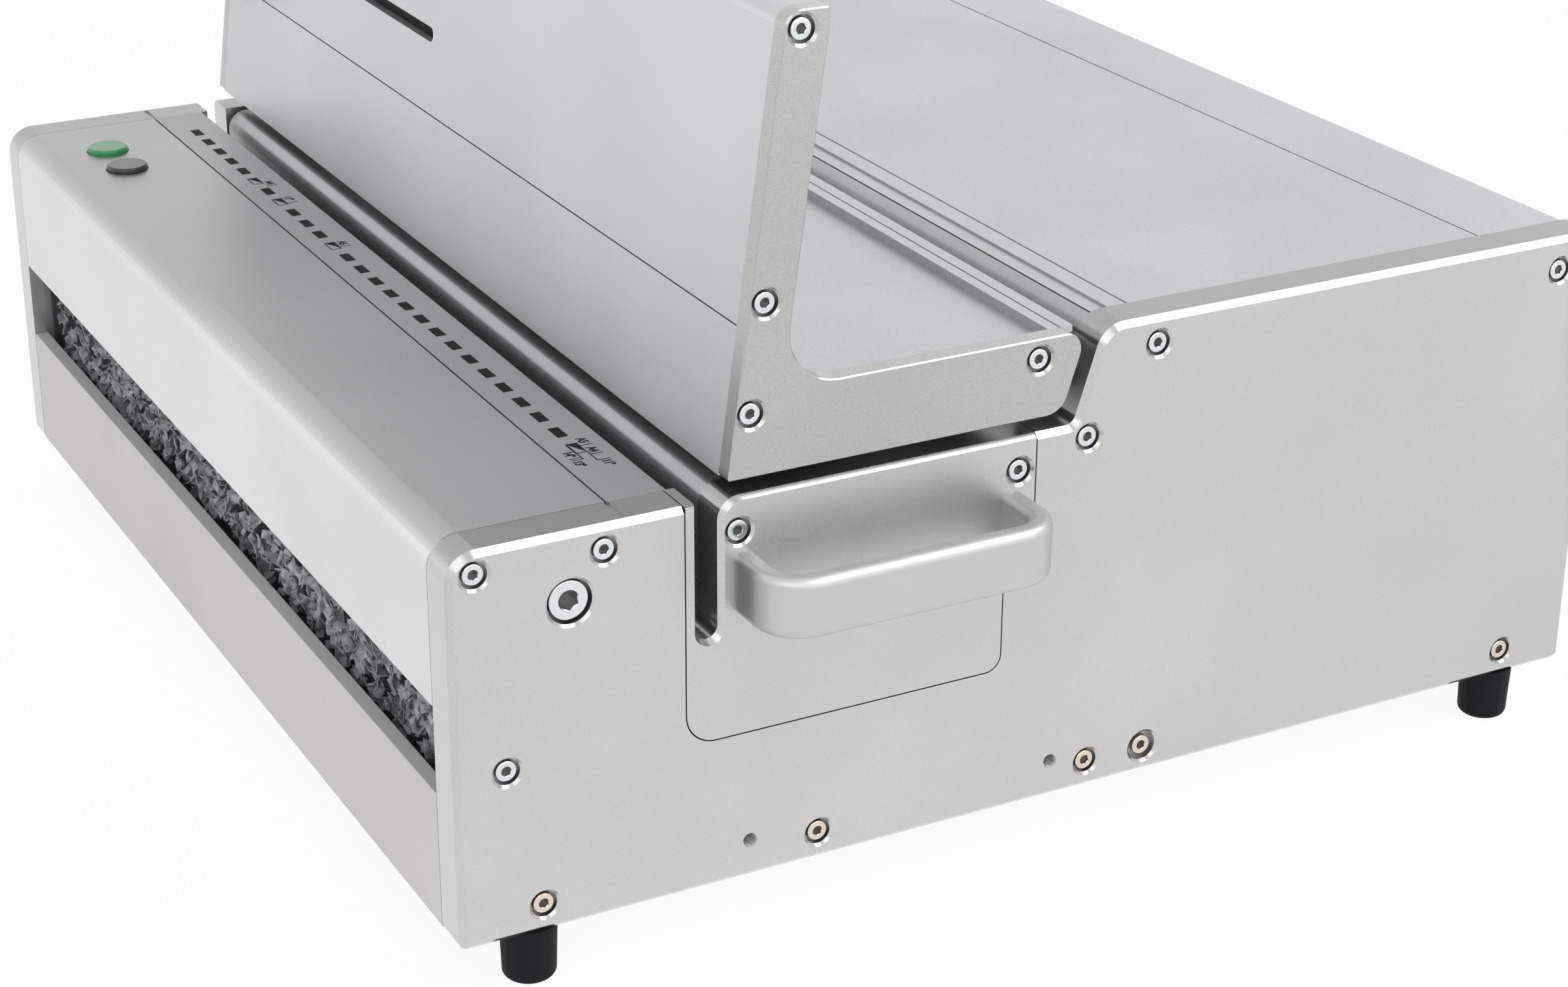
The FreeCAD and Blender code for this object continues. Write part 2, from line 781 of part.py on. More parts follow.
# ---------------------------------------------------------------------- chip drawer
def drawer_parts():
    """Front panel, clear window, bin and the heap of paper chips."""
    x0, x1 = inner_left + drawer_gap, inner_right - drawer_gap
    panel = profile([
        (0, drawer_front_bottom_v, drawer_front_corner), (0, drawer_front_top_v, drawer_front_edge),
        (drawer_front_thickness, drawer_front_top_v), (drawer_front_thickness, drawer_front_bottom_v),
    ], x0, x1)
    window_u0 = drawer_front_thickness
    window_u1 = window_u0 + window_thickness
    window = block(x0, x1, window_u0, window_u1, window_bottom_v, window_top_v - window_gap)
    side = rail_width + bin_side_gap
    bin_x0, bin_x1 = inner_left + side, inner_right - side
    wide_rear = rail_front_u - window_gap
    wide_inner = wide_rear - bin_wall / 2
    outer = block(bin_x0, bin_x1, window_u1, bin_rear_u, bin_bottom_v, bin_top_v)
    wide = block(x0, x1, window_u1, wide_rear, bin_bottom_v, bin_top_v)
    hollow = block(
        bin_x0 + bin_wall, bin_x1 - bin_wall, window_u1 - 1, bin_rear_u - bin_wall,
        bin_bottom_v + bin_wall, bin_top_v + 1,
    )
    wide_hollow = block(
        x0 + bin_wall, x1 - bin_wall, window_u1 - 1, wide_inner, bin_bottom_v + bin_wall, bin_top_v + 1,
    )
    flange_v = rail_screw[1] + rail_height / 2 + slide_clearance
    flange_u0 = wide_inner
    flanges = [
        block(inner_left + drawer_gap, bin_x0 + bin_wall, flange_u0, bin_rear_u, flange_v, flange_v + flange_thickness),
        block(bin_x1 - bin_wall, inner_right - drawer_gap, flange_u0, bin_rear_u, flange_v, flange_v + flange_thickness),
    ]
    front_lip = block(x0, x1, window_u1, window_u1 + bin_wall, bin_bottom_v, drawer_front_top_v - bin_lip_drop)
    tray = fuse([cut(fuse([outer, wide]), [hollow, wide_hollow]), front_lip, *flanges])
    heap_bottom = bin_bottom_v + bin_wall + heap_gap / 3
    heap_top = window_top_v - 2 * window_gap
    lip_rear = window_u1 + bin_wall + heap_gap
    lip_top = drawer_front_top_v - bin_lip_drop + heap_gap
    heap = profile([
        (lip_rear, heap_bottom), (lip_rear, lip_top), (window_u1 + heap_gap, lip_top),
        (window_u1 + heap_gap, heap_top), (heap_crest_u, heap_top),
        (bin_rear_u - bin_wall - heap_gap, heap_back_v), (bin_rear_u - bin_wall - heap_gap, heap_bottom),
    ], bin_x0 + bin_wall + heap_gap, bin_x1 - bin_wall - heap_gap)
    heap_front = block(
        x0 + bin_wall + heap_gap, x1 - bin_wall - heap_gap, window_u1 + heap_gap, wide_inner - heap_gap,
        lip_top, heap_top,
    )
    heap = fuse([heap, heap_front])
    return {"drawer_front": panel, "drawer_window": window, "drawer_bin": tray, "paper_chips": heap}


# ---------------------------------------------------------------------- rear covers
def rear_parts():
    """Fairing behind the paper support, top cover and hood."""
    wall = fairing_wall
    boss_top = front_height + wall / 3
    foot_u1 = rise_u + fairing_boss_depth
    slope_u = rise_u + rise_slope * (boss_top - front_height) + wall
    inner_v = rear_height - wall
    inner_u = rise_u + rise_slope * (inner_v - front_height) + wall
    fairing = profile([
        (fairing_foot_front_u, fairing_foot_v), (fairing_foot_front_u, front_height), (rise_u, front_height),
        (rise_u + rise_run, rear_height, rise_corner),
        (fairing_top_rear_u + rise_corner / 2, rear_height), (fairing_top_rear_u + rise_corner / 2, inner_v),
        (inner_u, inner_v, rise_corner - wall), (slope_u, boss_top), (foot_u1, boss_top), (foot_u1, fairing_foot_v),
    ], inner_left, inner_right)
    trim = block(
        inner_left, inner_right, fairing_top_rear_u, fairing_top_rear_u + rise_corner,
        inner_v - wall, rear_height + wall,
    )
    fairing = with_tapped_ends(fairing.cut(trim), (fairing_screw,))
    cover_front = fairing_top_rear_u + cover_joint
    cover_rear = hood_front_u - cover_joint
    plate_bottom = rear_height - cover_plate
    screw_u, screw_v = rear_cover_screw
    cover = profile([
        (cover_front, plate_bottom), (cover_front, rear_height - cover_step),
        (cover_step_u, rear_height - cover_step), (cover_step_u, rear_height),
        (cover_rear, rear_height), (cover_rear, plate_bottom),
        (screw_u + boss_radius, plate_bottom), (screw_u + boss_radius, screw_v - boss_radius),
        (screw_u - boss_radius, screw_v - boss_radius), (screw_u - boss_radius, plate_bottom),
    ], inner_left, inner_right)
    groove = block(
        inner_left, inner_right, cover_groove_u, cover_groove_u + cover_groove_width,
        rear_height - cover_groove_depth, rear_height,
    )
    cover = with_tapped_ends(cover.cut(groove), (rear_cover_screw,))
    wall_outer = body_depth - hood_recess
    hood_u, hood_v = hood_screw
    hood = profile([
        (hood_front_u, rear_height - cover_plate), (hood_front_u, rear_height),
        (wall_outer, rear_height, plate_rear_corner), (wall_outer, hood_bottom_v),
        (wall_outer - hood_wall, hood_bottom_v), (wall_outer - hood_wall, hood_v - boss_radius),
        (hood_u - boss_radius, hood_v - boss_radius), (hood_u - boss_radius, rear_height - cover_plate),
    ], inner_left, inner_right)
    hood = with_tapped_ends(hood, (hood_screw,))
    openings = [
        block(*panel_window(inlet_from_left, inlet_size), wall_outer - hood_wall, wall_outer, *panel_rise(inlet_size)),
        block(*panel_window(rocker_from_left, rocker_size), wall_outer - hood_wall, wall_outer, *panel_rise(rocker_size)),
        Part.makeCylinder(
            socket_radius, hood_wall, at(wall_outer - hood_wall, panel_v, inner_left + socket_from_left), ALONG_Y,
        ),
    ]
    return {"rear_fairing": fairing, "rear_cover": cover, "rear_hood": cut(hood, openings)}


def panel_window(from_left, size):
    """X limits of an opening in the rear wall."""
    middle = inner_left + from_left
    return middle - size[0] / 2, middle + size[0] / 2


def panel_rise(size):
    """Lower and upper edge of an opening in the rear wall."""
    return panel_v - size[1] / 2, panel_v + size[1] / 2


# --------------------------------------------------------------------- die cassette
def hole_places():
    """X of every punched hole."""
    return [first_hole_x - k * hole_pitch for k in range(hole_count)]


def pin_block(x, u0, u1, clearance=0.0):
    """Rectangular pin, or the hole for one, about x."""
    half_width, half_height = pin_width / 2 + clearance, pin_height / 2 + clearance
    return block(x - half_width, x + half_width, u0, u1, pin_v - half_height, pin_v + half_height)


def die_end_plate():
    """Plate that closes the bay and carries the handle."""
    gap = plate_joint
    front_u, bottom_v = bay_front_u + gap, bay_floor_v + gap
    plate = profile([
        (front_u, front_height),
        (front_u, bottom_v, bay_front_corner - gap),
        (bay_low_rear_u - gap, bottom_v, bay_rear_corner - gap),
        (bay_low_rear_u - gap, bay_step_v + gap, bay_step_corner + gap),
        (bay_rear_u - gap, bay_step_v + gap, bay_step_corner - gap),
        (bay_rear_u - gap, front_height),
    ], inner_right, x_right)
    band = block(inner_right, x_right, throat_rear_u, bay_rear_u, front_height - 2 * lip_corner, front_height + 1)
    plate = plate.cut(band.cut(plate_nose()))
    plate = plate.cut(throat_cutter(inner_right, x_right))
    plate = plate.cut(throat_mouth())
    bores = [m4_bore(place, x_right) for place in (die_screw_front, die_screw_rear)]
    for u in handle_screw_us():
        bores.append(screw_bore(
            (u, handle_v), inner_right, handle_bore_radius, handle_bore_depth, handle_screw_radius,
            plate_thickness, 1,
        ))
    return plate.cut(Part.makeCompound(bores))


def plate_nose():
    """Rounded and chamfered top of the plate, behind the throat."""
    def outline(du, dv, x):
        wire = rounded_wire([
            (throat_rear_u + du, throat_floor_v), (throat_rear_u + du, front_height - dv, lip_corner - dv),
            (body_depth, front_height - dv), (body_depth, throat_floor_v),
        ])
        wire.translate(FreeCAD.Vector(x, 0, 0))
        return wire

    knee = x_right - throat_chamfer
    straight = Part.Face(outline(0, 0, inner_right)).extrude(ALONG_X * (knee - inner_right))
    flare = Part.makeLoft([outline(0, 0, knee), outline(throat_chamfer, cassette_chamfer, x_right)], True, True)
    return straight.fuse(flare)


def throat_mouth():
    """Flared outer end of the throat: wide on the rear side, narrow on the front."""
    narrow = throat_chamfer / 3
    wires = []
    for x, front, rear in ((x_right, narrow, throat_chamfer), (x_right - throat_chamfer, 0.0, 0.0)):
        top = front_height + plate_chamfer
        corner = (throat_gap + front + rear) / 2 - 0.01
        wire = rounded_wire([
            (throat_front_u - front, top), (throat_front_u - front, throat_floor_v - rear, corner),
            (throat_rear_u + rear, throat_floor_v - rear, corner), (throat_rear_u + rear, top),
        ])
        wire.translate(FreeCAD.Vector(x, 0, 0))
        wires.append(wire)
    return Part.makeLoft(wires, True, True)


def handle_screw_us():
    """Places of the two screws in the handle's legs."""
    inset = handle_thickness / 2
    return handle_front_u + inset, handle_front_u + handle_span - inset


def bow_handle():
    """Bow handle with rounded corners and edges."""
    v0 = handle_v - handle_height / 2
    bend, thin = handle_bend, handle_thickness
    u0, u1 = handle_front_u, handle_front_u + handle_span
    reach = x_right + handle_reach
    outer = bent_bow(x_right, reach, u0, u1, bend, v0)
    inner = bent_bow(x_right - 1, reach - thin, u0 + thin, u1 - thin, bend - thin, v0)
    bow = outer.cut(inner)
    edges = [
        edge for edge in bow.Edges
        if abs(edge.BoundBox.ZMax - edge.BoundBox.ZMin) < 1e-6 and edge.BoundBox.XMax > x_right + 1e-6
    ]
    bow = bow.makeFillet(handle_round, edges)
    depth = handle_screw_length - (plate_thickness - handle_bore_depth)
    holes = [
        Part.makeCylinder(handle_screw_radius, depth, at(u, handle_v, x_right), ALONG_X)
        for u in handle_screw_us()
    ]
    return cut(bow, holes)


def bent_bow(x0, x1, u0, u1, corner, v0):
    """Plan of the handle, rounded at its two outer corners, raised from v0."""
    a, b = at(u0, v0, x0), at(u0, v0, x1 - corner)
    c, d = at(u0 + corner, v0, x1), at(u1 - corner, v0, x1)
    e, f = at(u1, v0, x1 - corner), at(u1, v0, x0)
    turn = corner * (1 - math.cos(math.pi / 4))
    edges = [
        Part.makeLine(a, b), Part.Arc(b, at(u0 + turn, v0, x1 - turn), c).toShape(), Part.makeLine(c, d),
        Part.Arc(d, at(u1 - turn, v0, x1 - turn), e).toShape(), Part.makeLine(e, f), Part.makeLine(f, a),
    ]
    return Part.Face(Part.Wire(edges)).extrude(ALONG_Z * handle_height)


def cassette_parts():
    """Everything that slides out of the bay with the handle."""
    x0, x1 = cassette_left + far_plate_thickness, inner_right
    guide_rear_u = throat_rear_u + guide_thickness
    holes = hole_places()
    heel_v = cassette_bottom_v + bay_front_corner - bay_clearance
    heel_u = cassette_front_u + bay_front_corner - bay_clearance
    die = block(x0, x1, cassette_front_u, throat_front_u, heel_v, die_top_v)
    die = cut(die, [pin_block(x, cassette_front_u, throat_front_u, pin_clearance) for x in holes])
    foot_top = cassette_bottom_v + base_thickness
    base = profile([
        (cassette_front_u, heel_v), (throat_front_u, heel_v), (throat_front_u, throat_floor_v),
        (throat_rear_u, throat_floor_v), (throat_rear_u, foot_top), (cassette_back_u, foot_top),
        (cassette_back_u, cassette_bottom_v), (heel_u, cassette_bottom_v),
    ], x0, x1)
    under_cover = lip_top_v - lip_wall
    guide = profile([
        (throat_rear_u, foot_top), (throat_rear_u, guide_top_v), (throat_rear_u + lip_wall, guide_top_v),
        (throat_rear_u + lip_wall, under_cover, lip_corner - lip_wall), (guide_rear_u, under_cover),
        (guide_rear_u, foot_top),
    ], x0, x1)
    guide = cut(guide, [pin_block(x, throat_rear_u, guide_rear_u, pin_clearance) for x in holes])
    guide = guide.cut(m4_tapped(die_screw_front, inner_right))
    cover = profile([
        (throat_rear_u, guide_top_v), (throat_rear_u, lip_top_v, lip_corner),
        (bay_rear_u - bay_clearance, lip_top_v), (bay_rear_u - bay_clearance, cover_bar_bottom_v),
        (cover_bar_front_u, cover_bar_bottom_v), (cover_bar_front_u, under_cover),
        (throat_rear_u + lip_wall, under_cover, lip_corner - lip_wall), (throat_rear_u + lip_wall, guide_top_v),
    ], cassette_left, x1 - end_joint)
    cover = cover.cut(m4_tapped(die_screw_rear, inner_right))
    far = fuse([
        block(cassette_left, x0, cassette_front_u, throat_front_u, heel_v, die_top_v),
        profile([
            (cassette_front_u, heel_v), (throat_front_u, heel_v), (throat_front_u, throat_floor_v),
            (throat_rear_u, throat_floor_v), (throat_rear_u, cassette_bottom_v), (heel_u, cassette_bottom_v),
        ], cassette_left, x0),
        profile([
            (throat_rear_u, cassette_bottom_v), (throat_rear_u, guide_top_v),
            (throat_rear_u + lip_wall, guide_top_v), (throat_rear_u + lip_wall, under_cover, lip_corner - lip_wall),
            (guide_rear_u, under_cover), (guide_rear_u, cassette_bottom_v),
        ], cassette_left, x0),
        block(cassette_left, x0, guide_rear_u, cassette_back_u, cassette_bottom_v, foot_top),
    ])
    screws = [m4_screw(place, x_right) for place in (die_screw_front, die_screw_rear)]
    handle_screws = [
        cap_screw(
            (u, handle_v), inner_right + handle_bore_depth, handle_screw_radius, handle_screw_head_radius,
            handle_screw_head_height, handle_screw_hex, handle_screw_length, 1,
        )
        for u in handle_screw_us()
    ]
    return {
        "die_end_plate": die_end_plate(), "die_handle": bow_handle(),
        "cassette_screws": Part.makeCompound(screws + handle_screws),
        "female_die": die, "die_base_bar": base, "pin_guide_bar": guide, "cassette_cover": cover,
        "cassette_far_plate": far,
    }


def pin_bar_parts():
    """Bar that drives all the pins, with the rail that hooks it to the ram."""
    x0 = cassette_left + far_plate_thickness + rail_play * 4
    x1 = inner_right - rail_play * 4
    holes = hole_places()
    body = block(x0, x1, pin_bar_front_u, pin_bar_rear_u, pin_v - pin_bar_height / 2, pin_v + pin_bar_height / 2)
    neck = block(x0, x1, pin_bar_rear_u, rail_neck_rear_u, pin_v - rail_neck_height / 2, pin_v + rail_neck_height / 2)
    head = block(
        x0, x1, rail_neck_rear_u, rail_neck_rear_u + rail_head_depth,
        pin_v - rail_head_height / 2, pin_v + rail_head_height / 2,
    )
    seats = [pin_block(x, pin_bar_front_u, pin_bar_front_u + pin_seat) for x in holes]
    pins = [pin_block(x, throat_rear_u + pin_rest_gap, pin_bar_front_u + pin_seat) for x in holes]
    return {"pin_bar": cut(fuse([body, neck, head]), seats), "punch_pins": Part.makeCompound(pins)}


# ---------------------------------------------------------------- ram and its guides
def ram_parts():
    """Ram with its slot and tongues, its two yokes and the blocks that guide it."""
    gap = running_clearance
    reach = guide_block_width + gap
    x0, x1 = inner_left + reach, inner_right - reach
    middle_v = (ram_bottom_v + ram_top_v) / 2
    body = block(x0, x1, ram_front_u, ram_rear_u, ram_bottom_v, ram_top_v)
    tongue = block(
        inner_left + reach - ram_tongue_reach, inner_left + 2 * guide_block_width,
        ram_tongue_front_u, ram_tongue_rear_u,
        middle_v - ram_tongue_height / 2, middle_v + ram_tongue_height / 2,
    )
    neck = block(
        x0, x1, ram_front_u, rail_neck_rear_u, pin_v - rail_neck_height / 2 - rail_play,
        pin_v + rail_neck_height / 2 + rail_play,
    )
    head = block(
        x0, x1, rail_neck_rear_u - rail_play, rail_neck_rear_u + rail_head_depth + rail_play,
        pin_v - rail_head_height / 2 - rail_play, pin_v + rail_head_height / 2 + rail_play,
    )
    ram = cut(fuse([body, tongue, mirror_x(tongue)]), [neck, head])
    side = block(
        inner_left, inner_left + guide_block_width, guide_block_front_u, guide_block_rear_u,
        bay_floor_v, guide_block_top_v,
    )
    groove = block(
        inner_left + guide_block_width - guide_groove_depth, inner_left + guide_block_width,
        guide_block_front_u, guide_block_rear_u,
        middle_v - ram_tongue_height / 2 - gap, middle_v + ram_tongue_height / 2 + gap,
    )
    side = side.cut(groove)
    yoke = ram_yoke(inner_left + yoke_inset, middle_v)
    return {
        "ram": ram, "ram_yokes": Part.makeCompound([yoke, mirror_x(yoke)]),
        "ram_guides": Part.makeCompound([side, mirror_x(side)]),
    }


def ram_yoke(x0, middle_v):
    """Yoke whose window holds an eccentric, reaching forward to the ram."""
    throw = stroke / 2
    window_u = shaft_u + throw
    half_width = eccentric_radius + yoke_play
    half_height = eccentric_radius + throw + yoke_rise_play
    x1 = x0 + yoke_thickness
    frame = block(
        x0, x1, window_u - half_width - yoke_margin, window_u + half_width + yoke_margin,
        shaft_v - half_height - yoke_margin, shaft_v + half_height + yoke_margin,
    )
    arm = block(
        x0, x1, ram_rear_u, window_u - half_width, middle_v - ram_tongue_height / 2,
        middle_v + ram_tongue_height / 2,
    )
    window = block(
        x0, x1, window_u - half_width, window_u + half_width, shaft_v - half_height, shaft_v + half_height,
    )
    return fuse([frame, arm]).cut(window)


# ---------------------------------------------------------------------------- drive
def gear_face(teeth, turn):
    """Spur gear outline about the origin, in the side view, with a bore to be cut."""
    pitch_radius = gear_module * teeth / 2
    base_radius = pitch_radius * math.cos(math.radians(20))
    tip_radius = pitch_radius + 0.9 * gear_module
    root_radius = pitch_radius - 1.2 * gear_module

    def involute(radius):
        ratio = max(radius / base_radius, 1.0)
        return math.sqrt(ratio * ratio - 1) - math.acos(1 / ratio)

    half = math.pi / 2 / teeth - tooth_backlash / 2 / pitch_radius + involute(pitch_radius)
    flank_start = max(base_radius, root_radius)
    steps = 4
    radii = [flank_start + (tip_radius - flank_start) * k / steps for k in range(steps + 1)]
    points = []
    for tooth in range(teeth):
        middle = turn + 2 * math.pi * tooth / teeth
        polar = [(root_radius, -half)] + [(radius, -(half - involute(radius))) for radius in radii]
        polar += [(radius, -angle) for radius, angle in reversed(polar)]
        points += [(radius * math.cos(middle + angle), radius * math.sin(middle + angle)) for radius, angle in polar]
    points.append(points[0])
    return points


def spur_gear(teeth, place, x0, width, turn=0.0):
    """Spur gear about (u, v)."""
    corners = [at(place[0] + u, place[1] + v, x0) for u, v in gear_face(teeth, turn)]
    return Part.Face(Part.makePolygon(corners)).extrude(ALONG_X * width)


def drive_parts():
    """Eccentric shaft, gears, bearings, blocks and the gearmotor."""
    throw = stroke / 2
    centre = (shaft_u, shaft_v)
    gear_x0 = inner_left + gear_inset
    block_x0 = inner_left + block_inset
    shaft_x0 = gear_x0 - gear_inset / 2
    shaft_x1 = inner_right - block_inset + gear_inset / 2
    shaft = rod_x(shaft_x0, shaft_x1, centre, shaft_radius)
    extra = (eccentric_width - yoke_thickness) / 2
    disc_x0 = inner_left + yoke_inset - extra
    disc = rod_x(disc_x0, disc_x0 + eccentric_width, (shaft_u + throw, shaft_v), eccentric_radius)
    bore = rod_x(disc_x0, disc_x0 + eccentric_width, centre, shaft_radius)
    disc = disc.cut(bore)
    gear = spur_gear(gear_teeth, centre, gear_x0, gear_width)
    gear = gear.cut(rod_x(gear_x0, gear_x0 + gear_width, centre, shaft_radius))
    pinion_centre = (pinion_u, shaft_v)
    pinion = spur_gear(pinion_teeth, pinion_centre, gear_x0, gear_width, math.pi / pinion_teeth)
    pinion = pinion.cut(rod_x(gear_x0, gear_x0 + gear_width, pinion_centre, pinion_shaft_radius))
    gearbox_x0 = inner_left + gearbox_inset
    bite = block_thickness
    pinion_shaft = rod_x(gear_x0 - extra, gearbox_x0 + bite, pinion_centre, pinion_shaft_radius)
    bearing_x0 = block_x0 + (block_thickness - bearing_width)
    bearing = rod_x(bearing_x0, bearing_x0 + bearing_width, centre, bearing_radius)
    bearing = bearing.cut(rod_x(bearing_x0, bearing_x0 + bearing_width, centre, shaft_radius + shaft_clearance))
    stand = block(
        block_x0, block_x0 + block_thickness, shaft_u - block_half_width, shaft_u + block_half_width,
        floor_top_v, shaft_v + block_head,
    )
    seat = rod_x(bearing_x0, bearing_x0 + bearing_width, centre, bearing_radius)
    shoulder = rod_x(block_x0, bearing_x0, centre, shaft_radius + 1)
    stand = cut(stand, [seat, shoulder])
    box_u0 = pinion_u - gearbox_lead
    box_v0 = shaft_v - gearbox_drop
    box = block(
        gearbox_x0, gearbox_x0 + gearbox_length, box_u0, box_u0 + gearbox_depth, box_v0, box_v0 + gearbox_height,
    )
    box = box.cut(rod_x(
        gearbox_x0, gearbox_x0 + bite + running_clearance, pinion_centre, pinion_shaft_radius + shaft_clearance,
    ))
    motor_centre = (box_u0 + gearbox_depth / 2, shaft_v)
    motor_x0 = gearbox_x0 + gearbox_length
    motor = finned_motor(motor_x0, motor_centre)
    mount = block(
        gearbox_x0, gearbox_x0 + gearbox_length, box_u0, box_u0 + gearbox_depth,
        box_v0 - mount_thickness, box_v0,
    )
    pedestal = block(
        gearbox_x0 + mount_thickness / 2, gearbox_x0 + gearbox_length - mount_thickness / 2,
        box_u0 + mount_thickness / 2, box_u0 + gearbox_depth - mount_thickness / 2,
        floor_top_v, box_v0 - mount_thickness,
    )
    return {
        "eccentric_shaft": fuse([shaft, disc, mirror_x(disc)]), "drive_gear": gear,
        "pinion": pinion.fuse(pinion_shaft),
        "shaft_bearings": Part.makeCompound([bearing, mirror_x(bearing)]),
        "bearing_blocks": Part.makeCompound([stand, mirror_x(stand)]),
        "gearbox": box, "motor": motor, "gearbox_mount": fuse([mount, pedestal]),
    }


def finned_motor(x0, centre):
    """Motor with cooling grooves along its body and a plain cap at each end."""
    body = rod_x(x0, x0 + motor_length, centre, motor_radius)
    grooves = []
    for k in range(motor_fin_count):
        angle = 2 * math.pi * k / motor_fin_count
        groove = block(
            x0 + motor_cap, x0 + motor_length - motor_cap,
            centre[0] + motor_radius - motor_fin_depth, centre[0] + motor_radius + motor_fin_depth,
            centre[1] - motor_fin_depth / 2, centre[1] + motor_fin_depth / 2,
        )
        groove.rotate(at(centre[0], centre[1]), ALONG_X, math.degrees(angle))
        grooves.append(groove)
    return cut(body, grooves)


# ---------------------------------------------------------------------- electrics
def electric_parts():
    """Control board, transformer, inlet, switch and foot-switch socket."""
    length, width, thick = board_length, board_width, board_thickness
    x0 = inner_left + board_from_left
    board_v = floor_top_v + board_lift
    board = block(x0, x0 + length, board_u, board_u + width, board_v, board_v + thick)
    posts = []
    for x in (x0 + 2 * standoff_radius, x0 + length - 2 * standoff_radius):
        for u in (board_u + 2 * standoff_radius, board_u + width - 2 * standoff_radius):
            posts.append(Part.makeCylinder(standoff_radius, board_lift, at(u, floor_top_v, x), ALONG_Z))
    chips = [
        block(x0 + length * a, x0 + length * b, board_u + width * c, board_u + width * d,
              board_v + thick, board_v + thick + rise)
        for (a, b, c, d), rise in zip(
            ((0.12, 0.30, 0.25, 0.60), (0.40, 0.62, 0.20, 0.42), (0.40, 0.52, 0.60, 0.80), (0.72, 0.92, 0.15, 0.35)),
            component_heights,
        )
    ]
    tx0 = inner_left + transformer_from_left
    tx1, tu1 = tx0 + transformer_length, transformer_u + transformer_width
    core = block(
        tx0, tx1, transformer_u + core_side_inset, tu1 - core_side_inset,
        floor_top_v, floor_top_v + transformer_height,
    )
    coil = block(
        tx0 + coil_end_inset, tx1 - coil_end_inset, transformer_u, tu1,
        floor_top_v + coil_rise_inset, floor_top_v + transformer_height - coil_rise_inset,
    )
    outer = body_depth - hood_recess
    inlet_x0, inlet_x1 = panel_window(inlet_from_left, inlet_size)
    v0, v1 = panel_rise(inlet_size)
    flange_x0, flange_x1 = panel_window(inlet_from_left, inlet_flange)
    f0, f1 = panel_rise(inlet_flange)
    shell = block(inlet_x0, inlet_x1, outer - inlet_depth, outer, v0, v1)
    flange = block(flange_x0, flange_x1, outer, outer + inlet_flange[2], f0, f1)
    well = block(
        inlet_x0 + inlet_wall, inlet_x1 - inlet_wall, outer - inlet_depth + 2 * inlet_wall,
        outer + inlet_flange[2], v0 + inlet_wall, v1 - inlet_wall,
    )
    wide, thin, long = inlet_pin_size
    middle = inner_left + inlet_from_left
    blades = []
    for dx, dv in ((-inlet_pin_pitch, -2.0), (0.0, 2.0), (inlet_pin_pitch, -2.0)):
        blades.append(block(
            middle + dx - thin / 2, middle + dx + thin / 2, outer - inlet_depth, outer - inlet_depth + long,
            panel_v + dv - wide / 2, panel_v + dv + wide / 2,
        ))
    inlet = cut(fuse([shell, flange]), [well] + blades)
    socket_at = at(outer - socket_depth, panel_v, inner_left + socket_from_left)
    barrel = Part.makeCylinder(socket_radius, socket_depth, socket_at, ALONG_Y)
    ring = Part.makeCylinder(
        socket_flange_radius, inlet_flange[2], at(outer, panel_v, inner_left + socket_from_left), ALONG_Y,
    )
    bore = Part.makeCylinder(
        socket_bore_radius, socket_depth + inlet_flange[2],
        at(outer - socket_depth + inlet_wall, panel_v, inner_left + socket_from_left), ALONG_Y,
    )
    return {
        "control_board": fuse([board, *posts, *chips]), "transformer": fuse([core, coil]),
        "power_inlet": fuse([inlet, *blades]),
        "foot_switch_socket": fuse([barrel, ring]).cut(bore), **switch_parts(outer),
    }


def switch_parts(outer):
    """Housing of the mains switch and its rocker."""
    x0, x1 = panel_window(rocker_from_left, rocker_size)
    v0, v1 = panel_rise(rocker_size)
    rim = (rocker_size[0] + 2 * rocker_frame, rocker_size[1] + 2 * rocker_frame)
    rx0, rx1 = panel_window(rocker_from_left, rim)
    rv0, rv1 = panel_rise(rim)
    half_thick = rocker_frame + 0.5
    axis_u = outer - 0.5
    body = block(x0, x1, outer - rocker_depth, outer, v0, v1)
    lip = block(rx0, rx1, outer, outer + inlet_flange[2], rv0, rv1)
    swing = (rocker_size[0] / 2) * math.sin(math.radians(rocker_lean_deg))
    well = block(
        x0 + rocker_frame, x1 - rocker_frame, axis_u - half_thick - swing, outer + inlet_flange[2],
        v0 + rocker_frame, v1 - rocker_frame,
    )
    inset = rocker_frame + rocker_clearance
    rocker = block(x0 + inset, x1 - inset, axis_u - half_thick, axis_u + half_thick, v0 + inset, v1 - inset)
    return {"switch_housing": fuse([body, lip]).cut(well), "switch_rocker": rocker}


# -------------------------------------------------------------------- paper support
def face_u(v):
    """Front face of the leaning support at height v."""
    return support_front_u + support_slope * (v - support_bottom_v)


def support_leg_rear(v):
    """Rear face of the support's leg at height v."""
    return face_u(v) + support_leg


def support_end():
    """Right-hand end plate of the paper support."""
    rear_run = rise_slope * (rear_height - support_bottom_v)
    plate = profile([
        (support_front_u, support_bottom_v, 1.0),
        (face_u(support_top_v), support_top_v, support_front_corner),
        (support_leg_rear(support_top_v), support_top_v, support_back_corner),
        (support_leg_rear(rear_height), rear_height, support_inner_corner),
        (support_rear_u, rear_height, support_rear_corner),
        (support_rear_u - rear_run, support_bottom_v, support_heel_corner),
    ], x_right - support_plate, x_right)
    plate = chamfer_rim(plate, support_edge, x_right, lambda u, v: True)
    bores = [m4_bore(place, x_right, depth=support_plate) for place in support_screws]
    bores.append(Part.makeCylinder(
        hinge_pin_radius + hinge_fit, pin_bite + running_clearance,
        at(hinge_u, hinge_v, x_right - support_plate), ALONG_X,
    ))
    return plate.cut(Part.makeCompound(bores))


